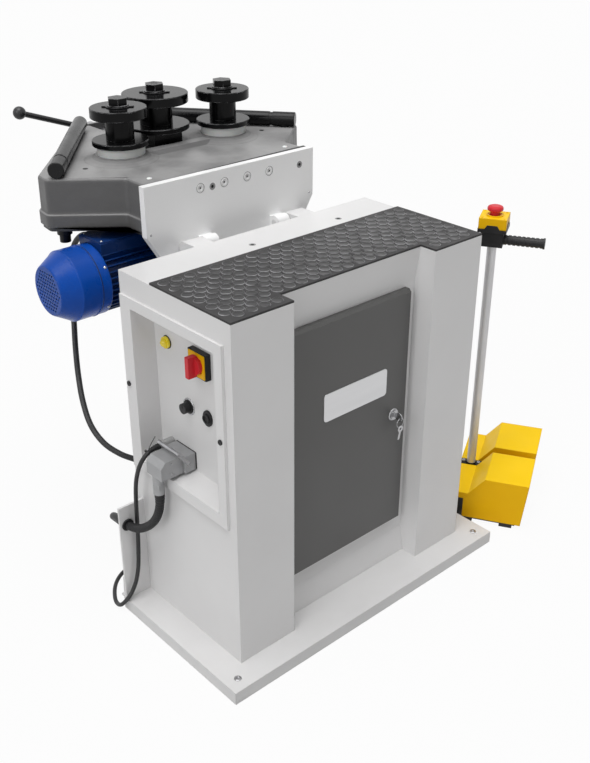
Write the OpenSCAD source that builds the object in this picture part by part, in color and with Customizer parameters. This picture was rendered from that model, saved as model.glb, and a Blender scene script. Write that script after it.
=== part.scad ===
// Angle roll bender: three rolls on a tilting head, a cabinet with its controls, a pedal station

/* [Base] */
// Reach of the base plate past each end of the cabinet
base_lip = 75; // [45:1:110]
// Reach of the base plate in front of the middle
base_front = 255; // [235:1:300]
// Reach of the base plate behind the middle
base_back = 285; // [265:1:292]
// Thickness of the base plate
base_h = 35; // [25:1:45]
// Cut corner at the back of the base plate
base_corner = 43; // [30:1:55]
// Base, length of the rear corner cuts
base_cut = 71; // [60:1:80]
// Base, distance of the rear levelling holes from its back
level_back = 49; // [42:1:56]
// Levelling screw holes, diameter
level_d = 18; // [12:1:24]
// Levelling screw holes, distance from the edges
level_in = 36; // [25:1:45]

/* [Cable guard] */
// Height of the upright guard plate at the left end
guard_h = 287; // [260:1:320]
// Thickness of the guard plate
guard_t = 6; // [4:0.5:10]
// Distance of the guard plate from the back of the cabinet
guard_in = 25; // [20:1:30]
// Width of the bent foot of the guard plate
guard_foot = 24; // [15:1:40]
// Lead hole in the guard plate, diameter
guard_hole_d = 26; // [24:0.5:34]

/* [Cabinet] */
// Length of the cabinet
cab_w = 800; // [760:1:830]
// Depth of the cabinet
cab_d = 410; // [400:1:420]
// Height of the cabinet above the base plate
cab_h = 905; // [880:1:930]
// Thickness of the sheet
cab_t = 4; // [2:0.5:6]
// Distance of the front of the cabinet from the front of the base plate
cab_in = 70; // [60:1:80]
// Gap between the door and a side of the bay
bay_gap = 32; // [26:1:40]
// Depth of the bay at its top and foot
bay_edge_d = 48; // [40:1:56]
// Depth of the bay behind the door
bay_d = 62; // [58:1:70]
// Height of the sloping strip at the top of the bay
bay_top = 90; // [60:1:100]
// Height of the sloping strip at the foot of the bay
bay_foot = 75; // [50:1:100]
// Thickness of the mat
mat_t = 5; // [3:0.5:8]
// Depth of the bare strip behind the mat
strip_d = 124; // [120:1:130]
// Hole in the strip for a bolt of the tilted head, diameter
land_d = 12; // [8:0.5:16]

/* [Door] */
// Width of the door
door_w = 390; // [370:1:400]
// Height of the door
door_h = 680; // [640:1:700]
// Height of the lower edge of the door above the base plate
door_up = 125; // [115:1:140]
// Thickness of the door
door_t = 19.5; // [16:0.5:24]
// Sheet of the door
door_sheet = 2; // [1.5:0.5:3]
// Bevel along the top and the foot of the door
door_bevel = 7; // [4:0.5:9]
// Gap between the door and the panel behind it
door_gap = 0.5; // [0.3:0.1:2]
// Overlap of the door on the panel round its opening
door_lap = 18; // [12:1:24]
// Distance of the hinge axis from the edge of the door
door_axis = 7; // [6.5:0.1:9]
// Radius of a door knuckle
door_knuckle_r = 6; // [5:0.1:6.3]
// Length of a door knuckle
door_knuckle_h = 34; // [25:1:45]
// Radius of a door hinge pin
door_pin_r = 3; // [2:0.1:4]
// Distance of the hinges from the ends of the door
door_hinge_in = 90; // [60:1:140]
// Distance of the lock from the free edge of the door
lock_in = 44; // [30:1:70]
// Height of the lock above the foot of the door
lock_up = 345; // [300:1:400]
// Radius of the lock plug
lock_r = 9; // [7:0.1:10]
// Radius of the lock collar
lock_collar_r = 13; // [12:0.1:16]
// Length of the lock collar
lock_collar_h = 6; // [4:0.1:8]
// Radius of the key bow
key_r = 12; // [10:0.1:14]
// Thickness of the key
key_t = 2.5; // [2:0.1:3.5]
// Reach of the key in front of the lock
key_l = 26; // [22:1:34]

/* [Control tray] */
// Width of the raised frame
frame_w = 377; // [365:1:390]
// Height of the raised frame
frame_h = 466; // [450:1:480]
// Thickness of the raised frame
frame_t = 8; // [5:0.5:12]
// Height of the foot of the frame above the base plate
frame_up = 385; // [370:1:400]
// Distance of the frame from the back of the cabinet
frame_in = 8; // [4:1:20]
// Width of the tray
tray_w = 308; // [300:1:315]
// Height of the tray
tray_h = 406; // [400:1:420]
// Depth of the tray behind the cabinet wall
tray_d = 55; // [50:1:60]
// Sheet of the tray
tray_t = 3; // [2:0.5:4]
// Height of the foot of the tray above the foot of the frame
tray_up = 33; // [25:1:36]
// Distance of the tray from the rear edge of the frame
tray_in = 41; // [35:1:46]
// Rise of the sloping ledge at the foot of the tray
ledge_h = 10; // [5:0.5:12]

/* [Controls] */
// Pilot lamp, distance from the rear wall of the tray
lamp_y = 49; // [40:1:60]
// Pilot lamp, height above the foot of the tray
lamp_z = 321; // [310:1:335]
// Pilot lamp, radius of the lens
lamp_r = 11; // [9:0.5:13]
// Pilot lamp, height of the lens
lamp_h = 18; // [14:0.5:24]
// Bezel round a fitting, width
bezel_w = 3.5; // [2:0.5:5]
// Bezel round a fitting, height
bezel_h = 8; // [5:0.5:10]
// Isolator, distance from the rear wall of the tray
switch_y = 183; // [175:1:190]
// Isolator, height above the foot of the tray
switch_z = 317; // [305:1:330]
// Isolator, width of its square base
switch_w = 64; // [56:1:72]
// Isolator, thickness of its base
switch_h = 15; // [12:0.5:20]
// Isolator, radius of the turning boss
switch_boss_r = 22; // [18:0.5:26]
// Isolator, height of the turning boss
switch_boss_h = 10; // [8:0.5:14]
// Isolator, length of the handle
handle_l = 52; // [46:1:60]
// Isolator, width of the handle
handle_w = 13; // [10:0.5:18]
// Isolator, height of the handle
handle_h = 18; // [14:0.5:24]
// Stem of a turning control, radius
stem_r = 5; // [3:0.5:6]
// Stem of a turning control, length behind its face
stem_l = 30; // [24:1:36]
// Speed dial, distance from the rear wall of the tray
dial_y = 124; // [115:1:130]
// Speed dial, height above the foot of the tray
dial_z = 180; // [170:1:190]
// Speed dial, radius of the knob
dial_r = 13; // [11:0.5:15]
// Speed dial, radius of the skirt
dial_skirt_r = 17; // [15.5:0.5:20]
// Speed dial, height of the skirt
dial_skirt_h = 4; // [3:0.5:6]
// Speed dial, height of the knob
dial_h = 20; // [16:0.5:26]
// Speed dial, width of the pointer groove
dial_groove = 2.5; // [1.5:0.5:4]
// Gap under a turning control
turn_gap = 0.4; // [0.3:0.1:1]

/* [Connector] */
// Connector, distance from the rear wall of the tray
plug_y = 102; // [95:1:110]
// Connector, height of its middle above the foot of the tray
plug_z = 37; // [35:1:45]
// Connector housing, width
plug_w = 76; // [70:1:84]
// Connector housing, height
plug_h = 46; // [40:1:50]
// Connector housing, depth
plug_d = 34; // [28:1:40]
// Plug hood, width
hood_w = 60; // [52:1:64]
// Plug hood, height
hood_h = 48; // [40:1:52]
// Plug hood, reach beyond the housing
hood_d = 63; // [60:1:70]
// Plug hood, bevel of its outer edges
hood_bevel = 14; // [8:1:20]
// Cord gland of the hood, radius
hood_gland_r = 14; // [12.5:0.5:16]
// Cord gland of the hood, length
hood_gland_l = 55; // [45:1:60]
// Distance of the gland axis from the end of the hood
hood_gland_in = 15; // [14.5:0.5:18]
// Locking lever, thickness of a leg
lever_t = 3; // [2:0.5:4]
// Locking lever, width of a leg
lever_w = 10; // [9:0.5:14]
// Locking lever, length of a leg
lever_l = 48; // [44:1:50]
// Locking lever, radius of a pivot
lever_pin_r = 3; // [2:0.5:4]
// Locking lever, distance of its axis from the panel
lever_x = 22; // [16:1:24]
// Mains gland, distance from the rear wall of the tray
inlet_y = 45; // [40:1:48]
// Mains gland, height above the foot of the tray
inlet_z = 51; // [48:1:60]
// Mains gland, radius
inlet_r = 12; // [10:0.5:13.5]
// Mains gland, length
inlet_l = 40; // [34:1:46]

/* [Cords] */
// Mains lead, diameter
mains_d = 11; // [9:0.5:12]
// Pedal lead, diameter
lead_d = 20; // [16:0.5:21]
// Motor lead, diameter
motor_lead_d = 15; // [12:0.5:16]
// Gap between neighbouring turns of the coil
coil_gap = 1; // [0.8:0.1:2]
// Radius of the outer turn of the coil
coil_r = 84; // [80:1:92]
// Radius of the mains plug
plug_r = 27; // [24:1:32]
// Length of the mains plug
plug_l = 120; // [100:1:140]

/* [Head hinge] */
// Distance of the hinge axis behind the cabinet
hinge_out = 50; // [46:1:56]
// Distance of the hinge axis from the head plate
hinge_gap = 20; // [19:0.5:24]
// Gap under the tilted head plate
fold_gap = 0.5; // [0.3:0.1:1]
// Radius of a knuckle
knuckle_r = 18; // [15:0.5:18.4]
// Radius of a hinge pin
hinge_pin_r = 8; // [6:0.5:10]
// Length of a moving knuckle
knuckle_l = 40; // [30:1:50]
// Length of a fixed hinge block
block_l = 58; // [50:1:66]
// Gap between neighbouring knuckles
knuckle_gap = 2; // [1:0.5:4]
// Moving knuckle on the left, distance from the middle
knuckle_left = 100; // [90:1:110]
// Moving knuckle on the right, distance from the middle
knuckle_right = 135; // [125:1:145]
// Height of the stop nose
nose_h = 26; // [20:1:30]

/* [Head plate] */
// Width of the head plate
plate_w = 540; // [530:1:560]
// Height of the head plate
plate_h = 218; // [210:1:225]
// Thickness of the head plate
plate_t = 20; // [15:0.5:25]
// Rise of the head above the cabinet
head_rise = 148; // [140:1:150]
// Width of the cut lower corners
plate_cut_w = 57; // [40:1:60]
// Height of the cut lower corners
plate_cut_h = 92; // [80:1:100]
// Bolts that hold the tilted head, left position
bolt_left = 68; // [60:1:80]
// Bolts that hold the tilted head, right position
bolt_right = 222; // [210:1:232]
// Bolts that hold the tilted head, distance from the top
bolt_down = 37; // [30:1:45]

/* [Casting] */
// Height of the casting
cast_h = 121; // [118:1:126]
// Wall of the casting
cast_t = 12; // [9:0.5:14]
// Depth of the casting
cast_d = 590; // [575:1:605]
// Width of the neck behind the plate
neck_w = 516; // [500:1:526]
// Depth of the neck
neck_d = 72; // [60:1:85]
// Width across the shoulders
shoulder_w = 816; // [800:1:840]
// Distance of the shoulders from the plate
shoulder_y = 194; // [185:1:205]
// Width behind the shoulders
flank_w = 804; // [790:1:812]
// Length of the short flank
flank_l = 48; // [40:1:60]
// Width of the rear end
tail_w = 194; // [180:1:210]
// Corner radius
cast_r = 14; // [10:0.5:18]
// Height of the rim at the foot
rim_h = 34; // [25:1:40]
// Reach of the rim
rim_out = 5; // [3:0.5:8]
// Rounding of the upper edge
edge_r = 8; // [5:0.5:10]
// Bottom cover, thickness
cover_t = 10; // [8:0.5:14]
// Dish of the bottom cover, radius
dish_r = 112; // [100:1:114]
// Dish of the bottom cover, depth
dish_h = 12; // [8:0.5:14]
// Ridge between the bosses, height
ridge_h = 10; // [6:0.5:12]
// Ridge between the bosses, width
ridge_w = 50; // [40:1:54]

/* [Rolls] */
// Distance between the two front rolls
roll_pitch = 331; // [327:0.5:334]
// Distance of the front rolls from the plate
roll_y = 229; // [224:1:234]
// Distance of the press roll behind the front rolls
press_y = 78; // [72:1:84]
// Height of a roll boss
boss_h = 14; // [10:0.5:18]
// Radius of a roll boss at its top
boss_r = 66; // [62:0.5:70]
// Radius of a roll boss at its foot
boss_foot_r = 97; // [90:1:104]
// Radius of a collar
collar_r = 61; // [56:0.5:62]
// Height of a collar
collar_h = 22; // [18:0.5:26]
// Gap between a collar and the roll above it
roll_gap = 0.8; // [0.5:0.1:1]
// Radius of a front flange
flange_r = 72; // [68:0.5:76]
// Radius of a front hub
hub_r = 36; // [32:0.5:40]
// Radius of a press flange
press_flange_r = 88; // [84:0.5:92]
// Radius of the press hub
press_hub_r = 44; // [40:0.5:48]
// Thickness of a lower flange
lower_h = 13.5; // [10:0.5:18]
// Height of a hub
hub_h = 55.5; // [50:0.5:60]
// Thickness of an upper flange
upper_h = 25; // [20:0.5:30]
// Bevel of a flange
flange_bevel = 1.5; // [1:0.5:3]
// Width of a keyway
key_w = 10; // [8:0.5:12]
// Reach of a keyway from the axis
key_reach = 31; // [28:0.5:34]
// Radius of a roll seat
shaft_r = 20; // [18:0.5:22]
// Radius of a shaft journal
journal_r = 25; // [23.5:0.5:27]
// Radius of a thread
thread_r = 14; // [12:0.5:16]
// Radius of a washer
washer_r = 27; // [25:0.5:29]
// Thickness of a washer
washer_h = 5; // [4:0.5:6]
// Radius across the corners of a nut
nut_r = 26; // [24:0.5:28]
// Height of a nut
nut_h = 18; // [15:0.5:22]
// Bearing, outer radius
bearing_r = 45; // [42:0.5:48]
// Bearing, width
bearing_h = 20; // [18:0.5:21]

/* [Gears] */
// Module of the gears
gear_m = 6; // [5.98:0.01:6.05]
// Teeth of a roll gear
gear_teeth = 40; // [40:1:40]
// Teeth of the pinion
pinion_teeth = 17; // [17:1:17]
// Width of the gears
gear_h = 22; // [18:0.5:23]
// Backlash
backlash = 0.5; // [0.4:0.1:0.8]

/* [Press] */
// Width of the press carriage
carriage_w = 90; // [84:1:96]
// Length of the press carriage
carriage_l = 104; // [100:1:108]
// Rise of the press carriage above the casting
carriage_up = 33; // [30:0.5:34]
// Depth of the slot
slot_d = 58; // [54:1:59]
// Forward travel of the press carriage
press_in = 10; // [8:0.5:11]
// Gap between the carriage and its slot
slide_gap = 0.3; // [0.3:0.05:0.5]
// Radius of the press screw
screw_r = 14; // [12:0.5:16]
// Radius of the tip of the press screw
tip_r = 11; // [9:0.5:11.5]
// Length of the tip of the press screw
tip_l = 22; // [18:1:26]
// Height of the nut bracket
bracket_h = 62; // [58:1:66]
// Width of the nut bracket
bracket_w = 150; // [140:1:160]
// Thickness of the nut bracket
bracket_t = 10; // [8:0.5:14]
// Radius of the boss on the nut bracket
bracket_r = 26; // [23:0.5:29]
// Length of the boss on the nut bracket
bracket_l = 15; // [12:0.5:20]
// Radius of the hub on the press screw
screw_hub_r = 21; // [19:0.5:24]
// Length of the hub on the press screw
screw_hub_l = 26; // [24:1:32]
// Radius of the tommy bar
bar_r = 8; // [6:0.5:9]
// Half length of the tommy bar to the middle of its balls
bar_l = 240; // [220:1:260]
// Radius of a ball
ball_r = 18; // [15:0.5:22]

/* [Guide arms] */
// Radius of a guide arm
arm_r = 20; // [17.5:0.5:22]
// Length of a guide arm behind its pivot
arm_l = 440; // [400:1:460]
// Length of a guide arm in front of its pivot
arm_fore = 32; // [25:1:36]
// Distance of the pivots from the middle
arm_x = 365; // [362:1:368]
// Distance of the pivots from the plate
arm_y = 203; // [200:1:206]
// Bevel at the ends of a guide arm
arm_bevel = 2; // [1:0.5:3]
// Depth of the groove in a guide arm
arm_groove = 2; // [1:0.5:3]
// Radius of a pivot pin
pin_r = 14; // [12:0.5:15]
// Wall round a pivot pin
pin_wall = 10; // [8:0.5:11]
// Length of a pivot pin under the casting
pin_down = 47; // [40:1:55]
// Height of the collar on a pivot pin
pin_collar_h = 16; // [12:0.5:20]

/* [Drive] */
// Distance of the motor axis in front of the front rolls
motor_y = 110; // [104:1:114]
// Distance of the motor axis under the casting
motor_down = 126; // [122:1:130]
// Distance of the motor flange from the middle
motor_x = 125; // [118:1:132]
// Length of the motor body
motor_l = 235; // [225:1:245]
// Radius of the motor core
core_r = 76; // [72:0.5:80]
// Radius over the fins
fin_r = 88; // [84:0.5:89]
// Thickness of a fin
fin_t = 3; // [2:0.5:4]
// Number of fins round the motor
fins = 36; // [24:1:40]
// Radius of the end shields
shield_r = 86; // [83:0.5:88]
// Thickness of the end shields
shield_t = 14; // [10:0.5:18]
// Width of the terminal box
term_w = 130; // [115:1:140]
// Depth of the terminal box
term_d = 100; // [90:1:110]
// Height of the terminal box above the axis
term_h = 101; // [98:0.5:102]
// Radius of the motor shaft
rotor_r = 12; // [10:0.5:13]
// Length of the fan cover
cowl_l = 113; // [108:1:120]
// Length of the cone of the fan cover
cone_l = 43; // [35:1:50]
// Radius of the fan cover
cowl_r = 90; // [89:0.5:93]
// Radius of the end of the fan cover
cowl_end_r = 64; // [60:0.5:68]
// Sheet of the fan cover
cowl_t = 2.5; // [2:0.5:3.5]
// Radius of a hole in the fan cover
vent_r = 3; // [2.5:0.1:3.4]
// Spacing of the holes in the fan cover
vent_pitch = 10.5; // [10:0.1:11.5]
// Radius of the fan
fan_r = 58; // [52:0.5:60]
// Length of the fan
fan_l = 40; // [34:1:44]
// Number of blades
blades = 7; // [5:1:9]
// Radius of the worm wheel housing
wheel_r = 88; // [82:1:92]
// Height of the worm wheel housing
wheel_h = 90; // [84:1:96]
// Radius of the worm housing
worm_r = 46; // [42:1:48]
// Reach of the worm housing beyond the middle
worm_l = 112; // [100:1:120]
// Radius of the gearbox column
column_r = 46; // [40:1:50]
// Radius of the pinion shaft
pinion_shaft_r = 20; // [17:0.5:22]

/* [Pedal station] */
// Distance of the post from the middle of the machine
station_x = 648; // [640:1:700]
// Distance of the post in front of the middle
station_y = 35; // [0:1:60]
// Turn of the station
station_turn = 60; // [52:1:66]
// Thickness of the station base
foot_h = 14; // [12:0.5:18]
// Length of the station base
foot_l = 195; // [185:1:205]
// Part of the station base behind the post
foot_back = 32; // [28:1:36]
// Set back of the station base under the hoods
foot_in = 16; // [10:1:18]
// Width of a hood
shoe_w = 161; // [155:1:168]
// Length of a hood at its top
shoe_top_l = 128; // [120:1:134]
// Height of a hood above the station base
shoe_h = 140; // [130:1:148]
// Height of the low rear part of a hood
shoe_low_h = 83; // [76:1:90]
// Sheet of a hood
shoe_t = 4; // [3:0.5:5]
// Distance of the hood from the middle of the station
shoe_in = 15.5; // [15.4:0.1:20]
// Length of the low rear part of a hood
shoe_low_l = 52; // [44:1:60]
// Length of the sloping part of a hood
shoe_slope_l = 46; // [40:1:54]
// Set back of the foot of a hood opening
shoe_lean = 14; // [8:1:20]
// Width of a pedal
pedal_w = 130; // [120:1:138]
// Length of a pedal
pedal_l = 125; // [115:1:132]
// Thickness of a pedal
pedal_t = 8; // [6:0.5:10]
// Rise of a pedal
pedal_turn = 13; // [11:0.5:14]
// Radius of a pedal pivot
pedal_pin_r = 5; // [4:0.5:6]
// Post, radius
post_r = 13; // [12:0.1:15]
// Post, wall
post_t = 2.5; // [2:0.5:4]
// Post, height
post_h = 842; // [820:1:870]
// Handle block, width
block_w = 62; // [56:1:68]
// Handle block, height
block_h = 53; // [50:1:58]
// Handle block, depth of the post in it
block_in = 40; // [30:1:46]
// Grip, radius
grip_r = 14; // [12:0.5:16]
// Grip, length
grip_l = 112; // [100:1:120]
// Grip, height above the foot of the block
grip_up = 15; // [13:0.5:20]
// Grip, number of ribs
grip_ribs = 8; // [6:1:10]
// Grip, depth of a groove
grip_groove = 1.5; // [1:0.5:2]
// Stop box, width
stop_w = 76; // [70:1:82]
// Stop box, height
stop_h = 30; // [27:1:34]
// Stop button, radius of the mushroom
stop_r = 22; // [20:0.5:25]
// Stop button, height of the mushroom
stop_cap_h = 15; // [12:0.5:18]
// Stop button, radius of the neck
stop_neck_r = 13; // [11:0.5:15]
// Stop button, length of the neck above the box
stop_neck_h = 12; // [10:0.5:16]
// Stop button, depth of the neck in the box
stop_in = 16; // [12:1:17]

/* [Hidden] */
$fn = 64;
// Overrun of a cut, running clearance, push fit clearance, small step between inner pieces
ov = 1;
running = 0.05;
push = 0.02;
step = 3;
// Levels and planes of the cabinet
cab_top = base_h + cab_h;
cab_front = cab_in - base_front;
cab_back = cab_front + cab_d;
cab_left = -cab_w / 2;
base_w = cab_w + 2 * base_lip;
bay_w = door_w + 2 * bay_gap;
bay_y = cab_front + bay_d;
guard_y = cab_back - guard_in;
guard_x = -base_w / 2;
guard_hole = [-453, 266];
// Door
door_z = base_h + door_up;
door_top = door_z + door_h;
door_back = bay_y - door_gap;
door_front = door_back - door_t;
door_hinge_x = -door_w / 2 - door_axis;
door_hinge_y = (door_front + door_back) / 2;
door_hinge_z = [door_z + door_hinge_in, door_top - door_hinge_in - 2 * door_knuckle_h];
lock_x = door_w / 2 - lock_in;
lock_z = door_z + lock_up;
// Control tray
frame_z = base_h + frame_up;
frame_back = cab_back - frame_in;
frame_x = cab_left - frame_t;
tray_back = frame_back - tray_in;
tray_front = tray_back - tray_w;
tray_z = frame_z + tray_up;
panel_x = cab_left + tray_d;
lever_reach_share = [-0.6, 0.8];
lever_axis = [panel_x - lever_x, tray_z + plug_z];
lever_end = lever_axis + lever_l * lever_reach_share;
plug_mid = tray_back - plug_y;
hood_x = panel_x - plug_d;
hood_end = hood_x - hood_d;
gland_x = hood_end + hood_gland_in;
gland_y = plug_mid + hood_w / 8;
gland_z = tray_z + plug_z - hood_h / 2;
inlet_mid = tray_back - inlet_y;
// Head
hinge_y = cab_back + hinge_out;
hinge_z = cab_top + fold_gap - hinge_gap;
plate_front = hinge_y + hinge_gap;
plate_back = plate_front + plate_t;
head_z = cab_top + head_rise;
plate_foot = head_z - plate_h;
cast_z = head_z - cast_h;
cast_back = plate_back + cast_d;
front_y = plate_back + roll_y;
press_mid = front_y + press_y;
front_x = roll_pitch / 2;
boss_top = head_z + boss_h;
roll_z = boss_top + collar_h + roll_gap;
hub_z = roll_z + lower_h;
upper_z = hub_z + hub_h;
washer_z = upper_z + upper_h;
nut_z = washer_z + washer_h;
shaft_top = nut_z + nut_h;
// Inside of the casting
cover_z = cast_z - cover_t;
seat_floor = cast_z + step;
seat_r = bearing_r + cast_t;
gear_z = seat_floor + bearing_h + step;
bearing_top = head_z - cast_t - edge_r;
bearing_z = bearing_top - bearing_h;
slot_floor = head_z - slot_d;
slot_w = carriage_w + 2 * slide_gap;
carriage_y = press_mid - carriage_l / 2;
carriage_back = carriage_y + carriage_l;
carriage_top = head_z + carriage_up;
slot_front = carriage_y - press_in - step;
centre = gear_m * (gear_teeth + pinion_teeth) / 2;
pinion_y = front_y - sqrt(centre * centre - front_x * front_x);
// Press screw
screw_z = head_z - slot_d / 2;
screw_hub_y = cast_back + bracket_t + bracket_l + press_in + step;
bar_tilt = 20;
bar_end = bar_l + ball_r * 0.98;
// Guide arms
arm_angle = 51.7;
arm_lift = 0.5;
arm_mid = plate_back + arm_y;
arm_z = head_z + arm_lift + arm_r;
// Drive
drive_y = front_y - motor_y;
drive_z = cast_z - motor_down;
motor_end = -motor_x - motor_l;
cowl_end = motor_end - cowl_l;
cowl_lap = cowl_l + shield_t - ov;
term_x = [motor_end + shield_t, motor_end + shield_t + term_w];
vent_rows = 5;
fan_x = cowl_end + cone_l / 2;
wheel_z = drive_z - wheel_h / 2;
// Pedal station, along its own axes
shoe_end = shoe_low_l - foot_back + shoe_slope_l + shoe_top_l;
shoe_z = foot_h + shoe_h;
pedal_x = 20;
pedal_z = foot_h + step * pedal_pin_r;
post_top = foot_h + post_h;
block_z = post_top - block_in;
stop_z = block_z + block_h;
// Routes of the cords, by hand along their way
mains_route = [[-385, 131, 504], [-403, 131, 503], [-420, 133, 495], [-431, 140, 477], [-436, 152, 449],
  [-437, 165, 412], [-435, 176, 370], [-433, 183, 320], [-432, 187, 270], [-433, 188, 220],
  [-436, 188, 170], [-441, 187, 130], [-449, 187, 96], [-460, 188, 70], [-473, 190, 50],
  [-485, 197, 33], [-490, 209, 19], [-489, 227, 10], [-483, 248, 6], [-471, 271, 6], [-455, 294, 6],
  [-434, 315, 6], [-407, 332, 6], [-373, 342, 6], [-335, 346, 6], [-290, 346, 6], [-240, 346, 6],
  [-229, 346, 6]];
lead_route = [[-427, 81, 411], [-427, 81, 390], [-429, 86, 356], [-434, 101, 322], [-441, 126, 294],
  [-448, 156, 275], [-452, 186, 267], [-453, 218, 265], [-452, 252, 260], [-443, 284, 243],
  [-421, 304, 212], [-390, 311, 170], [-352, 313, 124], [-310, 313, 80], [-262, 313, 42],
  [-210, 313, 18], [-155, 313, 10.5], [-95, 313, 10.5], [5, 313, 10.5], [105, 313, 10.5],
  [205, 313, 10.5], [305, 313, 10.5], [390, 313, 10.5], [445, 310, 10.5], [490, 296, 10.5],
  [524, 268, 10.5], [545, 230, 10.5], [557, 185, 10.5], [567, 140, 10.5], [579, 98, 10.5],
  [595, 58, 10.5], [613, 26, 10.5], [624.9, 5.1, 10.5]];
motor_route = [[-300, 497, 922], [-300, 514, 922], [-302, 548, 912], [-307, 576, 886], [-315, 588, 848],
  [-326, 582, 800], [-341, 562, 745], [-360, 532, 690], [-384, 495, 635], [-408, 452, 580],
  [-427, 408, 528], [-436, 364, 481], [-428, 322, 444], [-405, 288, 418], [-379, 264, 402],
  [-360, 247, 394], [-352, 230, 391]];
coil_mid = [-225, 430];
coil_z = 6;
coil_turns = 3;
coil_lead = 4;
ring_share = [0, 0.5];

function unit(v) = v / norm(v);
// Outline with its corners rounded; the outline runs anticlockwise
function rounded(pts, r, steps = 3) = [for (i = [0:len(pts) - 1])
  let (n = len(pts), p = pts[i], a = unit(pts[(i + n - 1) % n] - p), b = unit(pts[(i + 1) % n] - p),
    half = acos(a * b) / 2, mid = p + unit(a + b) * r / sin(half), side = sign(cross(b, a)),
    start = p + a * r / tan(half) - mid, from = atan2(start.y, start.x),
    sweep = side * (180 - 2 * half))
  for (k = [0:steps]) mid + r * [cos(from + sweep * k / steps), sin(from + sweep * k / steps)]];
// Outline moved outwards by a distance
function grown(pts, by) = [for (i = [0:len(pts) - 1])
  let (n = len(pts), a = unit(pts[i] - pts[(i + n - 1) % n]), b = unit(pts[(i + 1) % n] - pts[i]),
    na = [a.y, -a.x], nb = [b.y, -b.x]) pts[i] + by * (na + nb) / (1 + na * nb)];
// Points between the points of a route, on a smooth line through them
function bend(p, i, t) = let (n = len(p) - 1, a = p[max(i - 1, 0)], b = p[i], c = p[min(i + 1, n)],
  d = p[min(i + 2, n)]) b + t / 2 * (c - a + t * (2 * a - 5 * b + 4 * c - d + t * (3 * (b - c) + d - a)));
function smooth(p) = concat([for (i = [0:len(p) - 2]) for (t = ring_share) bend(p, i, t)], [p[len(p) - 1]]);
function along(p, i) = unit(p[min(i + 1, len(p) - 1)] - p[max(i - 1, 0)]);
function side_of(p, i, n) = let (t = along(p, i)) unit(n - (n * t) * t);
function sides_of(p, n, i = 0) = i == len(p) ? [] :
  let (m = side_of(p, i, n)) concat([m], sides_of(p, m, i + 1));
// Angle of a tooth flank at a radius
function roll_angle(base, r) = r <= base ? 0 : let (a = acos(base / r)) tan(a) * 180 / PI - a;
function gear_points(teeth) =
  let (pitch = gear_m * teeth / 2, base = pitch * cos(20), tip = pitch + gear_m * 0.9,
    root = pitch - gear_m * 1.2, low = max(base, root + gear_m * 0.3),
    half = 90 / teeth - backlash / pitch / 4 * 180 / PI + roll_angle(base, pitch),
    radii = [root, low, (low + pitch) / 2, pitch, (pitch + tip) / 2, tip])
  [for (i = [0:teeth - 1]) each concat(
    [for (r = radii) r * [cos(360 * i / teeth - half + roll_angle(base, r)),
      sin(360 * i / teeth - half + roll_angle(base, r))]],
    [for (k = [len(radii) - 1:-1:0]) let (r = radii[k])
      r * [cos(360 * i / teeth + half - roll_angle(base, r)),
      sin(360 * i / teeth + half - roll_angle(base, r))]])];
mesh_angle = atan2(front_y - pinion_y, front_x);
mesh_left = 180 - mesh_angle;
mesh_rest = (mesh_left - mesh_angle) % (360 / pinion_teeth);
right_phase = mesh_angle + 180 + 180 / gear_teeth;
left_phase = mesh_left + 180 + 180 / gear_teeth + mesh_rest * pinion_teeth / gear_teeth;
// Outline of the casting
cast_points = [[-neck_w / 2, plate_back], [neck_w / 2, plate_back], [neck_w / 2, plate_back + neck_d],
  [shoulder_w / 2, plate_back + shoulder_y], [flank_w / 2, plate_back + shoulder_y + flank_l],
  [tail_w / 2, cast_back], [-tail_w / 2, cast_back], [-flank_w / 2, plate_back + shoulder_y + flank_l],
  [-shoulder_w / 2, plate_back + shoulder_y], [-neck_w / 2, plate_back + neck_d]];
// Spiral of the coil: inwards on the floor, then outwards on the layer above it
coil_step = mains_d + coil_gap;
coil_route = concat([[coil_mid.x - coil_lead, coil_mid.y - coil_r, coil_z]],
  [for (k = [0:24 * coil_turns]) let (a = k * 15 - 90, r = coil_r - coil_step * k / 24)
    [coil_mid.x + r * cos(a), coil_mid.y + r * sin(a), coil_z]],
  [for (k = [1:24 * coil_turns]) let (a = k * 15 - 90, r = coil_r - coil_step * (coil_turns - k / 24))
    [coil_mid.x + r * cos(a), coil_mid.y + r * sin(a), coil_z + coil_step * min(1, k / 12)]],
  [[coil_mid.x + coil_step, coil_mid.y - coil_r, coil_z + coil_step],
    [coil_mid.x + 3 * coil_step, coil_mid.y - coil_r, plug_r],
    [coil_mid.x + 4 * coil_step, coil_mid.y - coil_r, plug_r]]);
coil_end = coil_route[len(coil_route) - 1];
// Least gap of the coil to itself, between points at least a third of a turn apart
coil_least = min([for (i = [0:len(coil_route) - 9]) for (j = [i + 8:len(coil_route) - 1])
  norm(coil_route[i] - coil_route[j])]) - mains_d;
echo(coil_least = coil_least);

module box(x, y, z) {
  translate([x[0], y[0], z[0]])
    cube([x[1] - x[0], y[1] - y[0], z[1] - z[0]]);
}

module rod_x(x, r) {
  translate([x[0], 0, 0])
    rotate([0, 90, 0])
      cylinder(h = x[1] - x[0], r = r);
}

module rod_y(y, r) {
  translate([0, y[1], 0])
    rotate([90, 0, 0])
      cylinder(h = y[1] - y[0], r = r);
}

module rod_z(z, r) {
  translate([0, 0, z[0]])
    cylinder(h = z[1] - z[0], r = r);
}

// Outline across the depth and the height, drawn out along the length
module slab_x(x, pts) {
  translate([x[0], 0, 0])
    rotate([90, 0, 90])
      linear_extrude(x[1] - x[0])
        polygon(pts);
}

// Outline across the length and the height, drawn out along the depth
module slab_y(y, pts) {
  translate([0, y[1], 0])
    rotate([90, 0, 0])
      linear_extrude(y[1] - y[0])
        polygon(pts);
}

module slab_z(z, pts) {
  translate([0, 0, z[0]])
    linear_extrude(z[1] - z[0])
      polygon(pts);
}

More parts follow.
